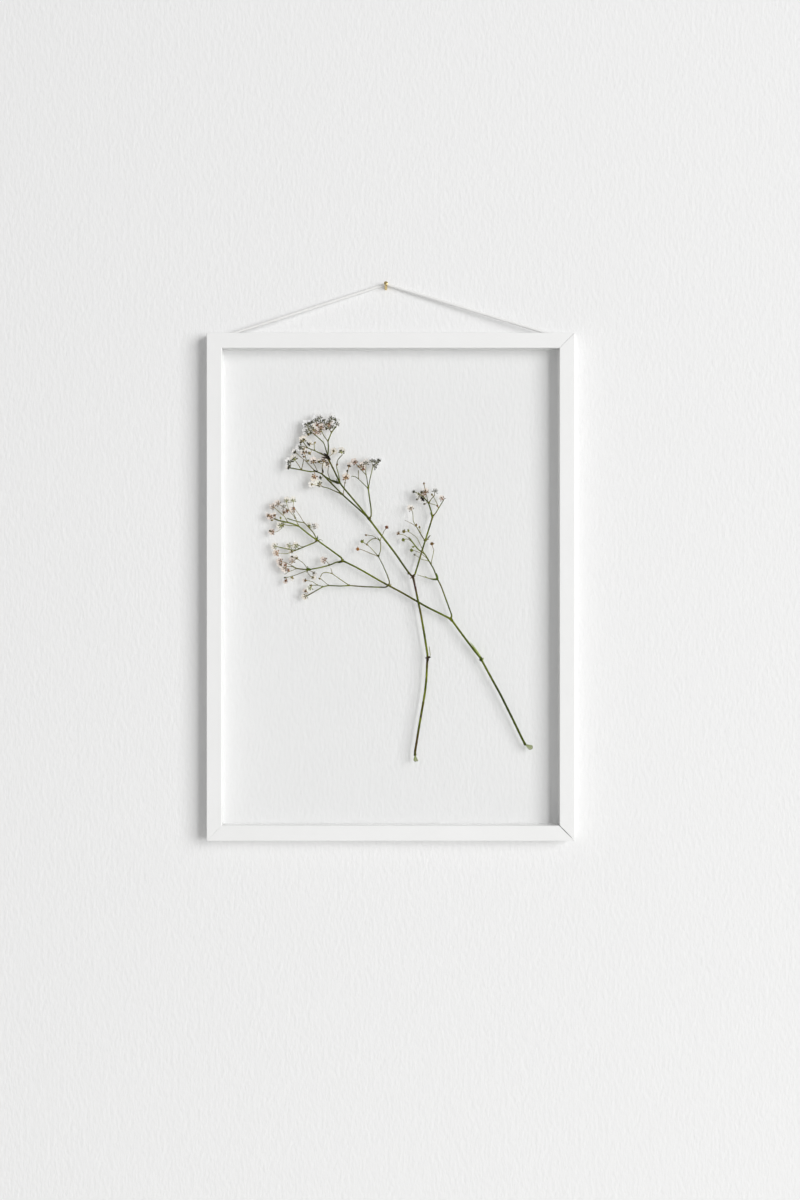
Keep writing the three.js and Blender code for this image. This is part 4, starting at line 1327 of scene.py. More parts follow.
SPRIG_B: tuple[Branch, ...] = (
    Branch(
        "sprig_b_stem",
        twigs=(
            Twig(1.6, 1.4, STEM, (
                (84.0, -98.3), (82.9, -96.3), (68.7, -67.3), (56, -44.3), (52.5, -40.2), (38.4, -21.1),
            )),
        ),
    ),
    Branch(
        "sprig_b_upper_branch",
        spread=0.0,
        twigs=(
            Twig(1.0, 0.9, STEM, (
                (38.4, -18.5), (31.4, 0.9), (29.2, 5), (27, 11.1), (21.3, 20.6), (17.1, 23.4),
                (11.8, 30.3),
            )),
            Twig(0.5, 0.4, TWIG, ((25.2, 14.4), (27, 23.3))),
            Twig(0.7, 0.3, TWIG, ((29.2, 5), (24.3, 5), (16.7, 7.5))),
            Twig(0.4, 0.3, TWIG, ((13.4, 28.2), (10.2, 30.3), (8, 29.7))),
            Twig(0.4, 0.3, TWIG, ((11.8, 30.3), (8.1, 32.5), (5.5, 32.9))),
            Twig(0.4, 0.3, TWIG, ((23.2, 17.2), (18.5, 21.6), (13.6, 23.1))),
            Twig(0.4, 0.3, TWIG, ((21.3, 20.6), (16.2, 30.9), (11.2, 34.5), (8.6, 34.4))),
            Twig(0.4, 0.3, TWIG, ((24, 16.4), (19.2, 17), (15.5, 19.8))),
        ),
        heads=(
            Head(5, 33.3, CUP, BROWN), Head(8.4, 34.6, STAR, OLIVE), Head(11.1, 35.3, BUD, GREEN),
            Head(8, 29.5, STAR, GREEN), Head(13.2, 22.9, STAR, GREEN), Head(14.1, 25.1, BUD, GREEN),
            Head(15, 20.1, BUD, GREY), Head(25.8, 26.8, STAR, BROWN),
        ),
    ),
    Branch(
        "sprig_b_main_branch",
        light=0.92,
        twigs=(
            Twig(1.4, 1.2, STEM, ((37.3, -19.9), (23.8, -13.1), (-22.2, 12.6), (-29.2, 16))),
        ),
    ),
    Branch(
        "sprig_b_middle_spray",
        spread=0.0,
        twigs=(
            Twig(0.8, 0.6, STEM, ((-0.5, 2.4), (-2.2, 7.8), (-4.6, 13.4), (-7.8, 19.2))),
            Twig(0.6, 0.5, STEM, (
                (-7.8, 19.2), (-6.6, 21.8), (-6.2, 25.8), (-6.6, 29), (-9, 30.4), (-12, 29.8),
                (-14.6, 27.4),
            )),
            Twig(0.4, 0.4, TWIG, ((-6.6, 29), (-4.2, 35), (-2.9, 36.6))),
            Twig(0.4, 0.4, TWIG, ((-9, 30.4), (-11, 31.9), (-14.7, 32.4))),
            Twig(0.5, 0.4, TWIG, ((-7.8, 19.2), (-14.2, 25.8), (-17.1, 27.8))),
            Twig(0.5, 0.4, TWIG, ((-7.8, 19.2), (-19, 23.6))),
        ),
        heads=(
            Head(-14.8, 26.5, BUD, OLIVE), Head(-15.4, 32.4, BUD, BROWN), Head(-2.6, 37.1, STAR, RED),
            Head(-17.7, 28.3, STAR, GREEN), Head(-20.4, 23.6, STAR, ORANGE),
        ),
    ),
    Branch(
        "sprig_b_lower_spray",
        spread=0.6,
        twigs=(
            Twig(0.9, 0.7, STEM, (
                (-2.6, -0.3), (-15.8, 0), (-25.8, 1), (-31.8, 0.6), (-38.7, 0.8), (-42.3, 0.1),
                (-52.5, -5.7),
            )),
            Twig(0.5, 0.4, STEM, ((-42.3, 0.1), (-45.5, 1.1), (-49.2, 1))),
            Twig(0.4, 0.3, TWIG, ((-45.5, 1.1), (-49, 3.6), (-52.5, 4))),
            Twig(0.4, 0.4, TWIG, ((-38.7, 0.8), (-43.6, 5))),
            Twig(0.6, 0.5, TWIG, (
                (-25.8, 1), (-36.6, 8.3), (-40.4, 9.1), (-42.8, 8.6), (-44, 6.2),
            )),
            Twig(0.4, 0.3, TWIG, ((-36.6, 8.3), (-37.4, 11.6))),
        ),
        heads=(
            Head(-49.7, 1, BUD, OLIVE), Head(-50.5, -0.7, STAR, GREEN), Head(-53.1, 4, CUP, BROWN),
            Head(-53.2, -5.8, STAR, OLIVE), Head(-53, -2.8, CUP, BROWN), Head(-44.4, 5.2, BUD, OLIVE),
        ),
    ),
    Branch(
        "sprig_b_left_spray",
        spread=0.8,
        twigs=(
            Twig(1.0, 0.8, STEM, (
                (-30.4, 16.1), (-34, 15.5), (-38.4, 13.5), (-44.2, 11.9), (-51.5, 10.7), (-58.9, 11.5),
                (-61.4, 12.9),
            )),
            Twig(0.5, 0.4, STEM, ((-51.5, 10.7), (-53.8, 9.4), (-59.8, 7.2), (-65.4, 5.8))),
            Twig(0.5, 0.4, TWIG, ((-51.5, 10.7), (-54.4, 14.5), (-59.6, 18.3))),
            Twig(0.4, 0.3, TWIG, ((-51.5, 10.7), (-52.2, 9.1), (-49.7, 6.2))),
            Twig(0.4, 0.3, TWIG, ((-58.9, 11.5), (-64.6, 9.1), (-66.3, 7.8))),
            Twig(0.4, 0.3, TWIG, ((-61.4, 12.9), (-65.6, 15.1), (-68.4, 15.9))),
            Twig(0.4, 0.3, TWIG, ((-38.3, 13.6), (-39.6, 15.9), (-41.1, 16.6))),
            Twig(0.4, 0.3, TWIG, ((-51.5, 10.7), (-48.6, 9.3))),
            Twig(0.4, 0.3, TWIG, ((-61.4, 12.9), (-65.4, 12.7))),
        ),
        heads=(
            Head(-68.8, 16, STAR, RED), Head(-68.5, 14.1, CUP, BROWN), Head(-65.6, 13.6, CUP, PINK),
            Head(-66, 11.6, STAR, BROWN), Head(-66, 5.8, BUD, DARK), Head(-65.4, 4.1, CUP, RED),
            Head(-61.5, 6, CUP, PALE), Head(-61.6, 16.1, STAR, BROWN), Head(-61.6, 18.9, BUD, DARK),
            Head(-58.6, 17.7, CUP, OLIVE), Head(-49, 6.1, CUP, OLIVE), Head(-48.3, 8.8, CUP, GREY),
            Head(-41.4, 16.7, STAR, RED), Head(-63.8, 10.2, CUP, PINK),
        ),
    ),
    Branch(
        "sprig_b_corner_spray",
        spread=0.8,
        twigs=(
            Twig(0.9, 0.6, STEM, ((-47.2, 27.8), (-59, 23), (-62.3, 23.3), (-71.3, 25.2))),
            Twig(0.5, 0.3, TWIG, ((-59, 23), (-63.2, 21.3), (-66, 20.7), (-70.3, 21.1))),
            Twig(0.4, 0.3, TWIG, ((-57.2, 23.8), (-58.6, 24.8))),
            Twig(0.4, 0.3, TWIG, ((-54.9, 24.9), (-59.1, 26.8), (-62.8, 25.6))),
        ),
        heads=(
            Head(-72.2, 25.4, STAR, GREEN), Head(-71, 21.1, STAR, ORANGE),
            Head(-63.5, 25.4, STAR, GREEN), Head(-59, 25.5, STAR, GREEN),
            Head(-61.5, 22.1, CUP, OLIVE),
        ),
    ),
    Branch(
        "sprig_b_top_head",
        spread=0.7,
        twigs=(
            Twig(1.2, 0.9, STEM, (
                (-30.3, 17.9), (-51.7, 33.3), (-57.6, 38.1), (-63.5, 40.1), (-69.7, 41.4),
                (-72.7, 42.6),
            )),
            Twig(0.8, 0.6, STEM, (
                (-45.8, 29), (-48.3, 33.9), (-54, 40.1), (-56.7, 40.3), (-64.6, 42.8),
            )),
            Twig(0.5, 0.2, STEM, ((-45.2, 28.8), (-43.9, 30.2), (-42.4, 28.5))),
            Twig(0.5, 0.4, TWIG, ((-57.6, 38.1), (-67.1, 38.9))),
            Twig(0.4, 0.3, TWIG, ((-67.1, 38.9), (-68.5, 36.4), (-71.6, 34.2), (-74, 34.5))),
            Twig(0.5, 0.4, TWIG, ((-57.6, 38.1), (-61, 46.6))),
            Twig(0.4, 0.3, TWIG, ((-54, 40.1), (-61, 50.5))),
            Twig(0.5, 0.4, TWIG, ((-64.6, 41.1), (-66.3, 44), (-72.2, 49.1))),
            Twig(0.4, 0.3, TWIG, ((-63.9, 48), (-69.9, 51.7))),
            Twig(0.4, 0.3, TWIG, ((-59.6, 42.6), (-63.9, 48), (-65.3, 53))),
            Twig(0.4, 0.3, TWIG, ((-51.2, 37), (-48.3, 37.6))),
        ),
        heads=(
            Head(-74.6, 43.5, STAR, RED), Head(-76.2, 44.6, CUP, BROWN), Head(-72.5, 44.5, CUP, BROWN),
            Head(-74.2, 41.7, BUD, OLIVE), Head(-67.2, 39.1, STAR, GREEN),
            Head(-69, 38.2, STAR, GREEN), Head(-73.7, 34.4, STAR, RED), Head(-75.4, 35, BUD, DARK),
            Head(-60.8, 48.2, STAR, BROWN), Head(-73.4, 49.9, STAR, BROWN),
            Head(-70.4, 52.1, STAR, BROWN), Head(-67.1, 50, STAR, DARK), Head(-65, 53.9, STAR, GREEN),
            Head(-61.1, 54, STAR, GREEN), Head(-64.6, 47.5, CUP, RED), Head(-66.7, 46.2, CUP, BROWN),
            Head(-68.8, 43.1, BUD, GREEN), Head(-47.6, 37.8, STAR, GREY),
            Head(-51.1, 37.9, CUP, GREEN), Head(-60.5, 49.1, BUD, PINK),
        ),
    ),
)

STAINS_A: tuple[Stain, ...] = (
    Stain(18.9, -80.6, 1.4, "#2e1c0c"),
    Stain(16.6, -97.0, 10.0, "#483a14"),
    Stain(23.1, -45.2, 2.6, "#2c1c14"),
    Stain(14.6, 0.3, 7.5, "#4a3230"),
    Stain(14.2, 6.5, 2.2, "#3a261a"),
    Stain(-39.4, 81.4, 2.6, "#2a2410"),
)
STAINS_B: tuple[Stain, ...] = (
    Stain(71.0, -73.0, 30.0, "#333e08"),
    Stain(29.2, 5.0, 2.0, "#4a5a1a"),
    Stain(25.9, 44.5, 2.6, "#4d4a28"),
    Stain(-3.9, -0.3, 3.8, "#33301a"),
)
BRACTS_A: tuple[Bract, ...] = (
    Bract((-37.7, 79.1), (-41.7, 83.6), 1.05, "#140f04"),
    Bract((-39.9, 81.1), (-44.0, 84.0), 0.36, "#231c0c"),
    Bract((-39.6, 80.2), (-43.4, 81.1), 0.4, "#1f180a"),
    Bract((-45.6, 71.6), (-48.4, 72.9), 0.55, "#1c180a"),
    Bract((-42.0, 71.2), (-43.0, 74.6), 0.45, "#2a2410"),
    Bract((-50.4, 88.0), (-52.6, 90.6), 0.5, "#1c160a"),
    Bract((-32.2, 64.4), (-37.1, 66.8), 0.8, "#20240a"),
    Bract((-32.4, 64.5), (-34.4, 67.8), 0.25, "#3a3c14"),
    Bract((13.9, 6.0), (11.5, 8.3), 0.34, "#9a8468"),
    Bract((13.9, 6.0), (11.9, 5.3), 0.3, "#6e5440"),
    Bract((13.7, 5.3), (14.5, 7.7), 0.6, "#3a2a1c"),
    Bract((26.0, 43.8), (24.7, 46.6), 0.5, "#56601f"),
    Bract((23.9, 52.2), (21.5, 55.0), 0.45, "#33300f"),
    Bract((21.0, 53.5), (18.6, 56.5), 0.7, "#140c04"),
    Bract((22.0, 29.4), (24.6, 32.4), 0.2, "#6b5c50"),
    Bract((21.9, 29.3), (23.9, 29.8), 0.4, "#77702f"),
    Bract((-13.2, 41.7), (-15.1, 44.5), 0.75, "#1c2006"),
    Bract((23.1, -44.2), (21.4, -44.5), 0.5, "#3a2a26"),
    Bract((23.0, -44.3), (25.1, -43.8), 0.58, "#30211c"),
    Bract((23.1, -46.7), (23.1, -43.5), 0.8, "#35281a"),
)
BRACTS_B: tuple[Bract, ...] = (
    Bract((29.4, 4.0), (28.5, 8.7), 0.75, "#4f6518"),
    Bract((29.0, 4.2), (24.3, 5.0), 0.36, "#3d4c14"),
    Bract((22.9, 5.6), (21.3, 6.6), 0.35, "#7f8c3a"),
    Bract((-49.8, 10.8), (-53.2, 11.2), 0.8, "#4a5a18"),
    Bract((-51.2, 11.0), (-52.3, 13.1), 0.28, "#4a5a18"),
    Bract((-51.5, 10.8), (-53.0, 8.8), 0.26, "#5a6424"),
    Bract((-29.7, 16.1), (-34.0, 15.1), 0.75, "#1e240a"),
    Bract((-46.0, 28.8), (-45.6, 32.2), 0.4, "#4d5a1c"),
    Bract((-0.1, -0.1), (0.3, 2.1), 0.35, "#a39a5a"),
    Bract((-7.1, 18.4), (-8.8, 20.3), 0.4, "#3a3c10"),
    Bract((-6.7, 28.9), (-8.3, 31.0), 0.34, "#5f6a2c"),
    Bract((56.7, -44.3), (49.5, -34.2), 0.55, "#a0ae6a"),
    Bract((56.2, -46.5), (56.6, -43.5), 1.05, "#2f3c0c"),
    Bract((56.7, -46.5), (58.0, -44.2), 0.6, "#8d9a52"),
)
LAYER_A, LAYER_B = -6.05, -4.95  # depth of each sprig's middle plane
FOOT_A = CutEnd(15.8, -109.9, (-0.12, 1.0), 3.4, 5.1)
FOOT_B = CutEnd(89.1, -101.4, (-0.86, 0.5), 4.2, 5.9)


@dataclass(frozen=True)
class Flower:
    """A flower head that is about to grow.

    Args:
        calyx: The middle of its calyx.
        foot: The calyx's foot, where the stalk meets it.
        facing: The way that it faces.
        teeth: Colour of the calyx's teeth.
        base: Colour of the calyx's foot.
        petal: Colour of its petals.
    """

    calyx: Vector
    foot: Vector
    facing: Vector
    teeth: Colour
    base: Colour
    petal: Colour

    def beyond_calyx(self, reach: float) -> Vector:
        """The point this far from the calyx's middle, the way that the flower faces."""
        return self.calyx + self.facing * reach

    def beyond_foot(self, reach: float) -> Vector:
        """The point this far from the calyx's foot, the way that the flower faces."""
        return self.foot + self.facing * reach


def flat(x: float, z: float) -> Vector:
    """A point in a sprig's own plane."""
    return Vector((x, 0.0, z))


def nearest_on_line(line: Sequence[Vector], spot: Vector) -> tuple[Vector, Vector]:
    """The point of a line that is nearest to a spot.

    Args:
        line: The line's points.
        spot: The spot.

    Returns:
        The point, and the line's heading there, of length 1.
    """
    best = (math.inf, line[0], Vector())
    for a, b in zip(line, line[1:]):
        step = b - a
        share = min(max((spot - a).dot(step) / step.length_squared, 0.0), 1.0)
        point = a + step * share
        away = (spot - point).length
        if away < best[0]:
            best = (away, point, step.normalized())
    return best[1], best[2]


def nearest_on_lines(lines: Iterable[Sequence[Vector]], spot: Vector) -> tuple[Vector, Vector]:
    """The nearest point on any of several lines, and that line's heading there."""
    found = [nearest_on_line(line, spot) for line in lines]
    return min(found, key=lambda point: (spot - point[0]).length)


def eased(line: Sequence[Vector], step: float, passes: int) -> list[Vector]:
    """A line with its corners rounded and its ends kept.

    Args:
        line: The line's points.
        step: From point to point of the result.
        passes: How often each point is drawn towards its neighbours.

    Returns:
        The finer line.
    """
    fine = [line[0]]
    for a, b in zip(line, line[1:]):
        count = max(1, round((b - a).length / step))
        fine += [a.lerp(b, k / count) for k in range(1, count + 1)]
    for _ in range(passes):
        inner = [(a + 2 * b + c) / 4 for a, b, c in zip(fine, fine[1:], fine[2:])]
        fine = [fine[0], *inner, fine[-1]]
    return fine


def turned(heading: Vector, degrees: float) -> Vector:
    """A heading turned in the sprig's plane.

    Args:
        heading: The heading.
        degrees: How far, anticlockwise as seen from the front.

    Returns:
        The new heading.
    """
    angle = math.radians(degrees)
    cos, sin = math.cos(angle), math.sin(angle)
    return Vector((heading.x * cos - heading.z * sin, 0.0, heading.x * sin + heading.z * cos))


@dataclass
class Sprig:
    """One pressed sprig, of which each branch is a piece.

    While it grows, branch is the branch in hand, draft its mesh and chance its random numbers. The
    lines are those of the twigs that have grown, by branch.

    Args:
        branches: Its branches, from the foot up.
        layer: Depth of its middle plane.
        stains: Where its stems have browned.
        bracts: The scales at its forks.
        foot: Its frayed foot.
        seed: Of its small irregularities.
        step: From ring to ring along a twig.
        flattest: The most that any part measures from front to back.
        ridged_from: Width from which a twig has ridges.
        stalk_width: Of a flower's stalk.
        stalk_free: A calyx nearer to its twig than this has no stalk.
        twig_share: How much of its twig's heading a flower takes on.
        gap_to_bridge: The widest gap at a fork of the solids that a twig grows across.
        gap_to_close: A gap under this is closed by moving the twig's first point.
        shrunk: Width of a dried twig as a share of its solid's.
    """

    branches: tuple[Branch, ...]
    layer: float
    stains: tuple[Stain, ...]
    bracts: tuple[Bract, ...]
    foot: CutEnd
    seed: int
    step: float = 0.7
    flattest: float = 0.76
    ridged_from: float = 0.75
    stalk_width: float = 0.34
    stalk_free: float = 0.3
    twig_share: float = 0.6
    gap_to_bridge: float = 3.2
    gap_to_close: float = 0.6
    shrunk: float = 0.93
    lines: dict[str, list[list[Vector]]] = field(init=False, default_factory=dict)
    draft: Draft = field(init=False)
    chance: random.Random = field(init=False)
    branch: Branch = field(init=False)

    def build(self, skins: Sequence[bpy.types.Material]) -> list[bpy.types.Object]:
        """Grows every branch.

        Args:
            skins: Materials of stems, calyces and petals.

        Returns:
            The pieces, one for each branch.
        """
        origin = FRAME.middle + deep(self.layer)
        pieces = []
        for number, branch in enumerate(self.branches):
            self.branch = branch
            self.draft = Draft()
            self.chance = random.Random(self.seed * 100 + number)
            self.grow_twigs()
            if number == 0:
                self.grow_foot()
            self.grow_bracts()
            for head in branch.heads:
                self.grow_head(head)
            piece = self.draft.build(f"{branch.node}_pressed", skins, origin)
            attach(piece, BODY)
            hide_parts(branch.node)
            pieces.append(piece)
        return pieces

    def grow_twigs(self) -> None:
        """Grows the branch's twigs, each from the one that it springs from."""
        grown: list[list[Vector]] = []
        for twig in self.branch.twigs:
            line = [flat(*point) for point in twig.line]
            start = self.where_it_springs(grown, line[0])
            if start is not None:
                if (start - line[0]).length < self.gap_to_close:
                    line[0] = start
                else:
                    line.insert(0, start)
                self.grow_knuckle(start, line[1] - start, twig)
            line = self.unevenly(eased(line, self.step, 3), twig.width_to)
            self.grow_twig(line, twig)
            grown.append(line)
        self.lines[self.branch.node] = grown

    def where_it_springs(self, grown: list[list[Vector]], start: Vector) -> Vector | None:
        """The point of another twig that a twig springs from.

        Args:
            grown: The lines of this branch's earlier twigs.
            start: Where the twig starts.

        Returns:
            The point, or None for the sprig's first twig and where no other is near enough.
        """
        others = [
            line for branch in self.branches if branch is not self.branch for line in branch.straight()
        ]
        nearest = [nearest_on_lines(lines, start)[0] for lines in (grown, others) if lines]
        if not nearest or self.branch is self.branches[0] and not grown:
            return None
        point = min(nearest, key=lambda spot: (spot - start).length)
        return point if (point - start).length < self.gap_to_bridge else None

    def unevenly(self, line: list[Vector], width: float) -> list[Vector]:
        """A line that sways slightly, in the plane and in depth, between ends that stay.

        Args:
            line: The line.
            width: Of the twig at its thin end, which sets how far it can sway.

        Returns:
            The swaying line.
        """
        sway = 0.10 if width > 0.8 else 0.14
        room = max(0.0, (self.flattest - width) / 2)
        phase = self.chance.uniform(0, 50)
        swaying = []
        for i, point in enumerate(line):
            share = math.sin(math.pi * i / max(1, len(line) - 1))
            at = phase + i * self.step * 0.16
            x, y, z = (math.sin(at * f + phase * f) for f in (1.0, 0.7, 1.3))
            swaying.append(point + Vector((x * sway, y * room, z * sway)) * share)
        return swaying

    def stem_dye(self, spot: Vector, twig: Twig, phase: float) -> Colour:
        """A stem's colour at a spot.

        Args:
            spot: The spot.
            twig: The twig that it is on.
            phase: Sets how far along its changes of colour the twig starts.

        Returns:
            The colour.
        """
        green, shade, brown = (linear(colour) for colour in twig.skin.value)
        along = spot.x * 0.11 + spot.z * 0.13 + phase
        dye = mixed(green, shade, 0.5 + 0.5 * math.sin(along * 3.1))
        dye = mixed(dye, brown, max(0.0, math.sin(along * 1.7 + 1.0)) ** 3 * 0.6)
        for stain in self.stains:
            away = (flat(stain.x, stain.z) - spot).length / stain.reach
            dye = mixed(dye, linear(stain.colour), max(0.0, 1 - away * away))
        return tuple(channel * (1 + self.branch.light) / 2 for channel in dye)

    def grow_twig(self, line: Sequence[Vector], twig: Twig) -> None:
        """Adds one twig, swollen slightly at both ends and ridged where it is thick.

        Args:
            line: Its middle line.
            twig: Its widths and skin.
        """
        phase = self.chance.uniform(0, 9)
        widths = []
        for i, _ in enumerate(line):
            share = i / (len(line) - 1)
            width = (twig.width_from + (twig.width_to - twig.width_from) * share) * self.shrunk
            end = min(i, len(line) - 1 - i) * self.step
            widths.append(width * (1 + 0.16 * math.exp(-end) + 0.04 * math.sin(i * 0.9 + phase)))
        thick = twig.width_from > self.ridged_from
        self.draft.add_part(
            Part(
                line,
                [width / 2 for width in widths],
                [min(width * 0.92, self.flattest) / 2 for width in widths],
                [self.stem_dye(spot, twig, phase) for spot in line],
                sides=14 if thick else 8,
                ridges=5 if thick else 0,
                ridge_height=0.05 if thick else 0.0,
            )
        )

    def grow_knuckle(self, start: Vector, heading: Vector, twig: Twig) -> None:
        """Adds the swollen joint that a twig springs from, with its two dried scales.

        Args:
            start: Where it is.
            heading: The way that the twig goes.
            twig: The twig.
        """
        way = heading.normalized()
        size = twig.width_from
        dark = mixed(linear(twig.skin.value[2]), linear("#3a3020"), self.chance.uniform(0.1, 0.7))
        green = linear(twig.skin.value[1])
        foot = start - way * size * 0.6
        self.add_bead(foot, start + way * size * 1.1, size * 0.68, green, green, ON_STEM)
        for side in (-1, 1):
            tilt = side * self.chance.uniform(22, 40)
            length = self.chance.uniform(0.8, 1.25) * (0.5 + size)
            self.add_leaf(start, turned(way, tilt), length, 0.16 + size * 0.16, dark, 0.08)

    def add_bead(
        self, start: Vector, end: Vector, half_width: float, dye: Colour, end_dye: Colour, skin: int
    ) -> None:
        """Adds an egg-shaped part.

        Args:
            start: Its first end.
            end: Its other end.
            half_width: Half of its greatest width.
            dye: Its colour at the first end.
            end_dye: Its colour at the other end.
            skin: Number of its material.
        """
        shares = (0.02, 0.14, 0.32, 0.5, 0.68, 0.86, 0.98)
        swell = [math.sin(math.pi * share) ** 0.6 for share in shares]
        self.draft.add_part(
            Part(
                [start.lerp(end, share) for share in shares],
                [half_width * s for s in swell],
                [min(half_width, self.flattest / 2) * s for s in swell],
                [mixed(dye, end_dye, share) for share in shares],
                skin=skin,
                sides=10,
                ridges=5,
                ridge_height=0.06,
            )
        )

    def add_leaf(
        self,
        root: Vector,
        heading: Vector,
        length: float,
        half_width: float,
        dye: Colour,
        half_depth: float,
        edge: Colour | None = None,
        lift: float = 0.0,
    ) -> None:
        """Adds a pointed scale, or a tooth of a calyx.

        Args:
            root: Where it springs from.
            heading: The way that it points.
            length: Its length.
            half_width: Half of its greatest width.
            dye: Its colour.
            half_depth: Half of its thickness.
            edge: Colour of its edges.
            lift: How far its tip stands to the front of its root.
        """
        shares = (0.0, 0.2, 0.45, 0.7, 0.9, 1.0)
        widths = (0.45, 0.85, 1.0, 0.75, 0.35, 0.08)
        self.draft.add_part(
            Part(
                [root + heading * length * s + deep(-lift * s) for s in shares],
                [half_width * w for w in widths],
                [half_depth * w for w in widths],
                [mixed(dye, edge or dye, 0.25 * s) for s in shares],
                skin=ON_CALYX,
                sides=8,
                edge=edge,
                cup=half_width * 0.25,
            )
        )

    def add_tooth(
        self, root: Vector, heading: Vector, length: float, base: Colour, teeth: Colour
    ) -> None:
        """Adds a tooth of a calyx, pale and narrow near its root and a dark lozenge beyond.

        Args:
            root: Where it springs from.
            heading: The way that it points.
            length: Its length.
            base: Its colour near its root.
            teeth: Its colour beyond.
        """
        shares = (0.0, 0.3, 0.42, 0.56, 0.7, 0.84, 0.94, 1.0)
        widths = (0.4, 0.42, 0.6, 0.95, 1.0, 0.7, 0.35, 0.08)
        half_width = self.branch.tooth * self.chance.uniform(0.88, 1.12)
        lift = self.chance.uniform(-0.06, 0.12)
        self.draft.add_part(
            Part(
                [root + heading * length * s + deep(-lift * s) for s in shares],
                [half_width * w for w in widths],
                [0.1 * w for w in widths],
                [base, base, mixed(base, teeth, 0.7), *[teeth] * 5],
                skin=ON_CALYX,
                sides=8,
                edge=mixed(teeth, linear("#b9b394"), 0.25),
                cup=0.08,
            )
        )

    def add_petal(
        self, root: Vector, heading: Vector, length: float, half_width: float, dye: Colour, lift: float
    ) -> None:
        """Adds a petal, thin, broad and rounded, curling a little.

        Args:
            root: Where it springs from.
            heading: The way that it points.
            length: Its length.
            half_width: Half of its greatest width.
            dye: Its colour.
            lift: How far its tip stands to the front of its root.
        """
        shares = (0.0, 0.18, 0.36, 0.54, 0.7, 0.83, 0.93, 0.985, 1.0)
        widths = (0.22, 0.42, 0.68, 0.9, 1.0, 0.96, 0.76, 0.46, 0.2)
        curl = self.chance.uniform(-0.5, 0.5)
        line = []
        for s in shares:
            sway = Vector((-heading.z, 0.0, heading.x)) * curl * 0.25 * s * s
            rise = deep(-lift * s - 0.06 * math.sin(9 * s + curl * 6))
            line.append(root + heading * length * s + sway + rise)
        near = mixed(dye, linear("#ddd6bd"), 0.2)
        self.draft.add_part(
            Part(
                line,
                [half_width * w for w in widths],
                [0.03 * (0.4 + 0.6 * w) for w in widths],
                [mixed(near, dye, min(1.0, 2 * s)) for s in shares],
                skin=ON_PETAL,
                sides=10,
                cup=self.chance.uniform(-0.12, 0.16),
            )
        )

    def grow_bracts(self) -> None:
        """Adds the scales whose root is nearest to this branch."""
        for bract in self.bracts:
            root = flat(*bract.root)
            away = {
                branch.node: (nearest_on_lines(branch.straight(), root)[0] - root).length
                for branch in self.branches
            }
            if min(away, key=away.get) != self.branch.node:
                continue
            step = flat(*bract.tip) - root
            dye = linear(bract.colour)
            half_depth = min(0.3, bract.half_width * 0.6)
            root.y = -0.08
            self.add_leaf(root, step.normalized(), step.length, bract.half_width, dye, half_depth)

    def grow_foot(self) -> None:
        """Adds the frayed foot of the sprig."""
        foot = self.foot
        end, way = flat(foot.x, foot.z), flat(*foot.heading).normalized()
        green, pale, tip = linear("#7c8a44"), linear("#a9ad94"), linear("#5e5c55")
        root = end + way * foot.length
        dark = linear("#333a0c")
        self.add_bead(root + way * 1.1, root - way * 0.7, 0.9, dark, dark, ON_STEM)
        splay = math.degrees(math.atan(foot.width / 2 / foot.length))
        shares = (0.0, 0.3, 0.6, 0.85, 0.96, 1.0)
        widths = (0.4, 0.6, 0.85, 1.0, 0.75, 0.3)
        count = 5
        for k in range(count):
            side = (k / (count - 1) - 0.5) * 2
            heading = turned(-way, side * splay * 0.8 + self.chance.uniform(-2, 2))
            length = foot.length * self.chance.uniform(0.84, 1.0) * (1 - 0.12 * abs(side))
            half_width = foot.width * self.chance.uniform(0.13, 0.18)
            lift = deep(-0.08 * (-1) ** k)
            shade = self.chance.uniform(0.0, 0.9)
            along = [mixed(green, mixed(pale, green, shade), min(1.0, 2.2 * s)) for s in shares]
            self.draft.add_part(
                Part(
                    [root + heading * length * s + lift * s for s in shares],
                    [half_width * w for w in widths],
                    [0.16 * w for w in widths],
                    [*along[:-2], *[mixed(along[-1], tip, 0.7)] * 2],
                    sides=10,
                    edge=mixed(pale, linear("#d5d8c6"), 0.4),
                )
            )

    def grow_head(self, head: Head) -> None:
        """Grows a flower head on its stalk.

        Args:
            head: The head.
        """
        calyx = flat(head.x, head.z)
        point, heading = nearest_on_lines(self.branch.straight(), calyx)
        stalk = (calyx - point) / max((calyx - point).length, 1.0)
        facing = (stalk + heading * self.twig_share).normalized()
        root = nearest_on_lines(self.lines[self.branch.node], calyx)[0]
        colours = head.tone.value
        teeth = self.varied(colours.teeth, self.branch.light)
        base, petal = (self.varied(c, 1.0) for c in (colours.base, colours.petal))
        foot = calyx - facing * {STAR: 0.95, BLOOM: 0.5, CUP: 0.8, BUD: 0.75}[head.kind]
        if (root - calyx).length > self.stalk_free:
            self.grow_stalk(root, foot, facing, base)
        star = self.grow_star if self.branch.spread else self.grow_globe
        grow = {STAR: star, BLOOM: self.grow_bloom, CUP: self.grow_cup, BUD: self.grow_bud}[head.kind]
        grow(Flower(calyx, foot, facing, teeth, base, petal))

    def varied(self, hex_colour: str, light: float) -> Colour:
        """A colour in a light, made slightly lighter or darker, as no two flowers are alike."""
        share = self.chance.uniform(0.86, 1.12) * light
        return tuple(min(1.0, channel * share) for channel in linear(hex_colour))

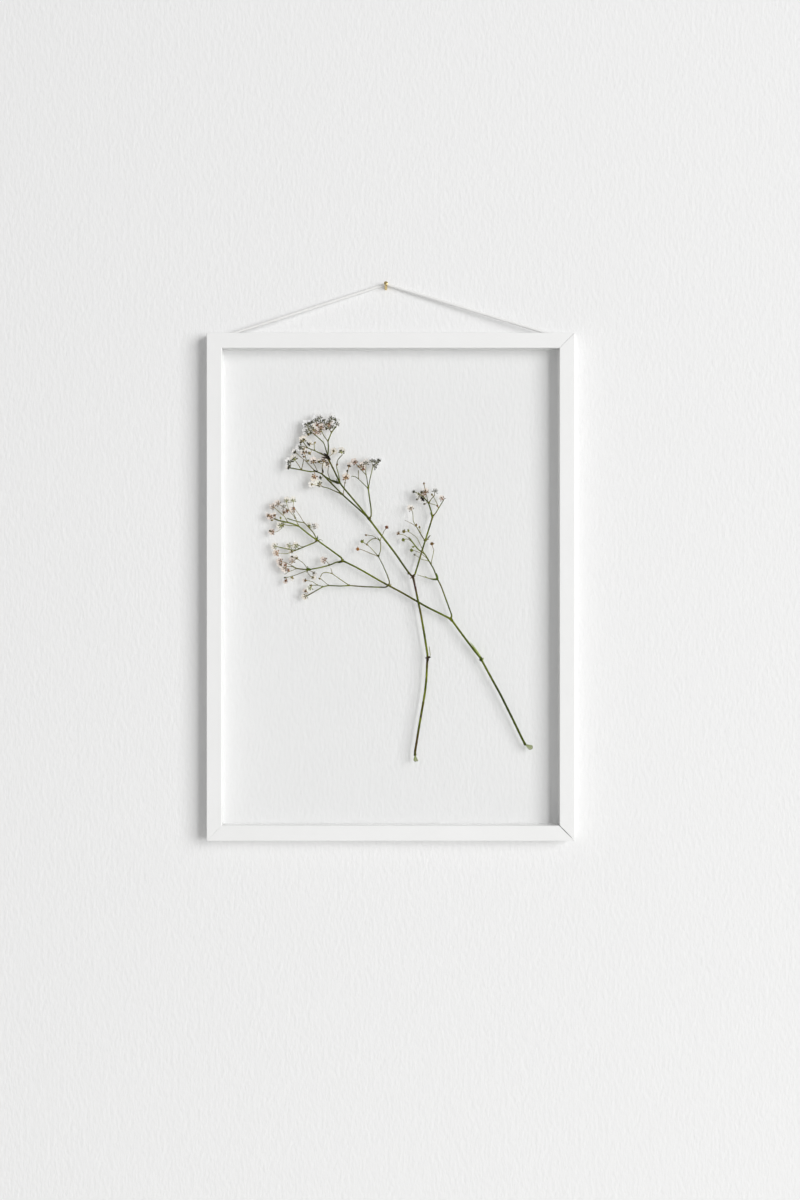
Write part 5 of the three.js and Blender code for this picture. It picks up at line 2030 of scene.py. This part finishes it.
    def grow_stalk(self, root: Vector, foot: Vector, facing: Vector, base: Colour) -> None:
        """Adds a flower's stalk, bowed so that it meets the calyx straight.

        Args:
            root: Where it leaves its twig.
            foot: The calyx's foot.
            facing: The way that the flower faces.
            base: Colour of the calyx's foot.
        """
        apart = (foot - root).length
        bow = foot - facing * apart * 0.35
        count = max(3, round(apart / self.step) + 1)
        line = []
        for k in range(count):
            s = k / (count - 1)
            line.append(root * (1 - s) ** 2 + bow * 2 * s * (1 - s) + (foot + facing * 0.15) * s * s)
        brown = linear("#7b6a4c")
        width = self.stalk_width
        self.draft.add_part(
            Part(
                line,
                [width / 2 * (0.95 + 0.35 * (k / (count - 1)) ** 3) for k in range(count)],
                [width / 2 for _ in line],
                [mixed(brown, base, k / (count - 1)) for k in range(count)],
                sides=6,
            )
        )

    def add_bell(
        self, foot: Vector, mouth: Vector, half_width: float, base: Colour, teeth: Colour
    ) -> None:
        """Adds the calyx's bell.

        Args:
            foot: Where the stalk meets it.
            mouth: The middle of its mouth.
            half_width: Half of its mouth's width.
            base: Its colour at the foot.
            teeth: Its colour at the mouth.
        """
        shares = (0.0, 0.15, 0.4, 0.7, 1.0)
        widths = (0.3, 0.55, 0.85, 1.0, 0.9)
        self.draft.add_part(
            Part(
                [foot.lerp(mouth, s) for s in shares],
                [half_width * w for w in widths],
                [min(half_width, 0.3) * w for w in widths],
                [mixed(base, teeth, s * 0.8) for s in shares],
                skin=ON_CALYX,
                sides=10,
                ridges=5,
                ridge_height=0.1,
            )
        )

    def grow_star(self, flower: Flower) -> None:
        """An open flower seen from its side: a star of dark teeth with the petals fanned beyond it.

        Args:
            flower: Its place and colours.
        """
        form = STAR.value
        for k, angle in enumerate((-84, -42, 0, 42, 84)):
            angle += self.chance.uniform(-9, 9)
            way = turned(flower.facing, angle)
            cos, sin = math.cos(math.radians(angle)), math.sin(math.radians(angle))
            tip = form.tip * self.chance.uniform(0.84, 0.97)
            reach = form.beyond * cos + math.sqrt(tip**2 - (form.beyond * sin) ** 2)
            reach *= 0.6 + 0.4 * self.branch.spread
            lift = self.chance.uniform(-0.2, 0.02)
            root = flower.calyx + way * 0.25 + deep(0.05 + 0.05 * (k % 2))
            half_width = self.chance.uniform(0.72, 0.95) * (0.7 + 0.3 * self.branch.spread)
            self.add_petal(root, way, reach - 0.25, half_width, flower.petal, lift)
        half_dark = mixed(flower.base, flower.teeth, 0.5)
        self.add_bell(flower.foot, flower.beyond_foot(0.95), 0.36, flower.base, half_dark)
        for k, angle in enumerate((-92, -46, 0, 46, 92)):
            way = turned(flower.facing, angle + self.chance.uniform(-8, 8))
            root = flower.beyond_foot(0.2) + way * 0.25 + deep(-0.14 + 0.04 * (k % 2))
            self.add_tooth(root, way, self.chance.uniform(1.65, 2.0), flower.base, flower.teeth)

    def grow_globe(self, flower: Flower) -> None:
        """A flower that has closed again over its seed: a globe with its teeth folded on top.

        Args:
            flower: Its place and colours.
        """
        light = mixed(flower.teeth, flower.base, 0.55)
        half_width = self.chance.uniform(0.92, 1.08)
        top = flower.beyond_calyx(1.25)
        self.add_bead(flower.foot, top, half_width, flower.base, flower.teeth, ON_CALYX)
        for angle in (-34, 4, 38):
            angle += self.chance.uniform(-6, 6)
            root = flower.beyond_calyx(0.5) + deep(-0.05)
            length = self.chance.uniform(0.9, 1.3)
            self.add_petal(root, turned(flower.facing, angle), length, 0.3, flower.petal, 0.0)
        for angle in (-58, -20, 20, 58):
            way = turned(flower.facing, angle + self.chance.uniform(-7, 7))
            root = flower.beyond_foot(0.5) + deep(-0.28)
            dye = mixed(flower.teeth, light, self.chance.uniform(0.0, 0.5))
            self.add_leaf(root, way, self.chance.uniform(1.5, 1.9), 0.34, dye, 0.1, light)

    def grow_bloom(self, flower: Flower) -> None:
        """An open flower seen from its face: petals all round a small eye.

        Args:
            flower: Its place and colours.
        """
        form = BLOOM.value
        middle = flower.beyond_calyx(form.beyond)
        for k in range(5):
            way = turned(flower.facing, k * 72 + self.chance.uniform(-10, 10))
            length = form.tip * self.chance.uniform(0.86, 0.98) - 0.15
            root = middle + way * 0.15 + deep(0.04 * (k % 2))
            half_width = self.chance.uniform(0.82, 1.05)
            self.add_petal(root, way, length, half_width, flower.petal, self.chance.uniform(-0.12, 0.12))
        self.add_bead(flower.foot, flower.beyond_calyx(0.45), 0.42, flower.base, flower.teeth, ON_CALYX)
        for k in range(5):
            way = turned(flower.facing, k * 72 + 36 + self.chance.uniform(-12, 12))
            root = flower.beyond_calyx(0.15) + way * 0.1 + deep(-0.16)
            self.add_leaf(root, way, self.chance.uniform(0.6, 0.85), 0.2, flower.teeth, 0.08)
        for k in range(6):
            way = turned(flower.facing, k * 60 + self.chance.uniform(-20, 20))
            eye = flower.beyond_calyx(0.3) + way * self.chance.uniform(0.3, 0.65) + deep(-0.26)
            dot = mixed(linear("#b9ab7e"), flower.base, self.chance.uniform(0, 1))
            self.add_bead(eye, eye + way * 0.26, 0.1, dot, dot, ON_CALYX)

    def grow_cup(self, flower: Flower) -> None:
        """A half-open flower: its petals still folded in its calyx.

        Args:
            flower: Its place and colours.
        """
        form = CUP.value
        for angle in (-30, -10, 12, 32):
            angle += self.chance.uniform(-6, 6)
            reach = (form.beyond + form.tip) * self.chance.uniform(0.78, 0.94)
            reach *= 0.6 + 0.4 * self.branch.spread
            root = flower.beyond_calyx(0.1) + deep(self.chance.uniform(-0.02, 0.1))
            lift = self.chance.uniform(-0.14, 0.04)
            half_width = self.chance.uniform(0.5, 0.66)
            self.add_petal(root, turned(flower.facing, angle), reach, half_width, flower.petal, lift)
        self.add_bell(flower.foot, flower.beyond_calyx(0.45), 0.52, flower.base, flower.teeth)
        for angle in (-46, -16, 16, 46):
            way = turned(flower.facing, angle + self.chance.uniform(-7, 7))
            root = flower.beyond_foot(0.3) + deep(-0.16)
            self.add_tooth(root, way, self.chance.uniform(1.5, 1.8), flower.base, flower.teeth)

    def grow_bud(self, flower: Flower) -> None:
        """A closed bud: an egg that ends in the petals' rolled tips.

        Args:
            flower: Its place and colours.
        """
        self.add_bead(flower.foot, flower.beyond_calyx(0.75), 0.62, flower.base, flower.teeth, ON_CALYX)
        tip = mixed(flower.petal, flower.teeth, 0.35)
        self.add_bead(flower.beyond_calyx(0.35), flower.beyond_calyx(1.0), 0.3, flower.teeth, tip, ON_CALYX)
        for angle in (-24, 0, 24):
            root = flower.beyond_calyx(-0.1) + deep(-0.2)
            way = turned(flower.facing, angle)
            self.add_leaf(root, way, 0.85, 0.2, mixed(flower.teeth, flower.base, 0.15), 0.08)


@dataclass(frozen=True)
class Lamp:
    """A soft lamp, aimed at the middle of the frame.

    Args:
        name: Its name.
        way: The way from the frame to the lamp.
        away: How far off it is, in metres.
        size: Its width and height, in metres.
        watts: Its power.
    """

    name: str
    way: tuple[float, float, float]
    away: float
    size: tuple[float, float]
    watts: float

    def build(self) -> None:
        """Hangs the lamp, unseen through the glass."""
        data = bpy.data.lights.new(self.name, "AREA")
        data.shape = "RECTANGLE"
        data.size, data.size_y = self.size
        data.energy = self.watts
        lamp = in_scene(self.name, data)
        way = Vector(self.way).normalized()
        lamp.location = FRAME.middle * METRE + way * self.away
        lamp.rotation_euler = way.to_track_quat("Z", "Y").to_euler()
        lamp.visible_transmission = False


@dataclass(frozen=True)
class Studio:
    """The wall, the floor, the soft light and the camera, in metres.

    Args:
        wall_gap: From the frame's back to the wall's face, so that the two don't lie in one plane.
        wall_size: The wall's width and height.
        floor_z: Height of the floor.
        floor_y: Its front and back edge.
        camera_place: Where the camera is.
        lens: Its focal length in millimetres.
        sensor: The long side of its picture in millimetres.
        flag_y: Where the black flag hangs that keeps reflections off the glass.
        flag_size: Its width and height.
        lamps: The lamps.
        ambient: Strength of the even light from all round.
    """

    wall_gap: float = 0.0002
    wall_size: tuple[float, float] = (3.2, 2.4)
    floor_z: float = -1.1
    floor_y: Point = (-2.6, 1.6)
    camera_place: tuple[float, float, float] = (0.0088, -1.0470, -0.1955)
    lens: float = 50.0
    sensor: float = 36.0
    flag_y: float = -2.6
    flag_size: float = 1.8
    lamps: tuple[Lamp, ...] = (
        Lamp("key_window", (0.61, -1.0, 0.12), 4.8, (0.9, 2.8), 74.0),
        Lamp("side_window", (1.16, -1.0, 0.25), 13.0, (4.9, 8.6), 810.0),
        Lamp("back_fill", (-0.5, 1.0, 0.5), 2.2, (1.2, 1.2), 10.0),
    )
    ambient: float = 0.355

    def build_camera(self) -> None:
        """Sets up the camera, level and square to the wall."""
        data = bpy.data.cameras.new("camera")
        data.lens = self.lens
        data.sensor_width = self.sensor
        camera = in_scene("camera", data)
        camera.location = self.camera_place
        camera.rotation_euler = Euler((math.radians(90), 0.0, 0.0))
        bpy.context.scene.camera = camera

    def build(self) -> None:
        """Builds the wall and the floor, and lights them."""
        half_width, half_height = (size / 2 for size in self.wall_size)
        front, back = self.floor_y
        middle = FRAME.middle * METRE
        corners = [
            (middle.x + x * half_width, self.wall_gap, middle.z + z * half_height)
            for x, z in ((-1, -1), (1, -1), (1, 1), (-1, 1))
        ]
        wall = self.sheet("wall", corners, RolledPaint().build())
        wall.visible_shadow = False
        corners = [
            (middle.x + x * half_width, y, self.floor_z)
            for x, y in ((-1, front), (1, front), (1, back), (-1, back))
        ]
        self.sheet("floor", corners, PALE_FLOOR.build())
        corners = [
            (middle.x + x * self.flag_size / 2, self.flag_y, middle.z + z * self.flag_size / 2)
            for x, z in ((-1, 1), (1, 1), (1, -1), (-1, -1))
        ]
        flag = self.sheet("black_flag", corners, BLACK_FELT.build())
        for unseen in ("camera", "diffuse", "transmission", "shadow"):
            setattr(flag, f"visible_{unseen}", False)
        for lamp in self.lamps:
            lamp.build()
        world = bpy.data.worlds.new("studio")
        world.use_nodes = True
        background = world.node_tree.nodes["Background"]
        background.inputs["Color"].default_value = rgba("#ffffff")
        background.inputs["Strength"].default_value = self.ambient
        bpy.context.scene.world = world
        bpy.context.scene.view_settings.view_transform = "Standard"

    def sheet(
        self, name: str, corners: Sequence[tuple[float, float, float]], material: bpy.types.Material
    ) -> bpy.types.Object:
        """A flat stage piece.

        Args:
            name: Its name.
            corners: Its corners, anticlockwise as seen from its face.
            material: Its material.

        Returns:
            The stage piece.
        """
        mesh = bpy.data.meshes.new(name)
        mesh.from_pydata(corners, [], [tuple(range(len(corners)))])
        mesh.materials.append(material)
        sheet = in_scene(name, mesh)
        return sheet


def main() -> None:
    """Builds the frame and its plants, sets the stage and logs each piece's faces."""
    logging.basicConfig(level=logging.INFO, format="%(message)s")
    studio = Studio()
    studio.build_camera()
    pieces = [ElasticBand().build()]
    pieces += FrameBars().build()
    pieces += Glazing().build()
    pieces.append(Nail().build())
    skins = [skin.build() for skin in (STEM_SKIN, CALYX_SKIN, PETAL_SKIN)]
    pieces += Sprig(SPRIG_A, LAYER_A, STAINS_A, BRACTS_A, FOOT_A, seed=1, shrunk=0.97).build(skins)
    pieces += Sprig(SPRIG_B, LAYER_B, STAINS_B, BRACTS_B, FOOT_B, seed=2, shrunk=0.88).build(skins)
    studio.build()
    for piece in pieces:
        log.info("%s: %d faces", piece.name, len(piece.data.polygons))


if __name__ == "__main__":
    main()
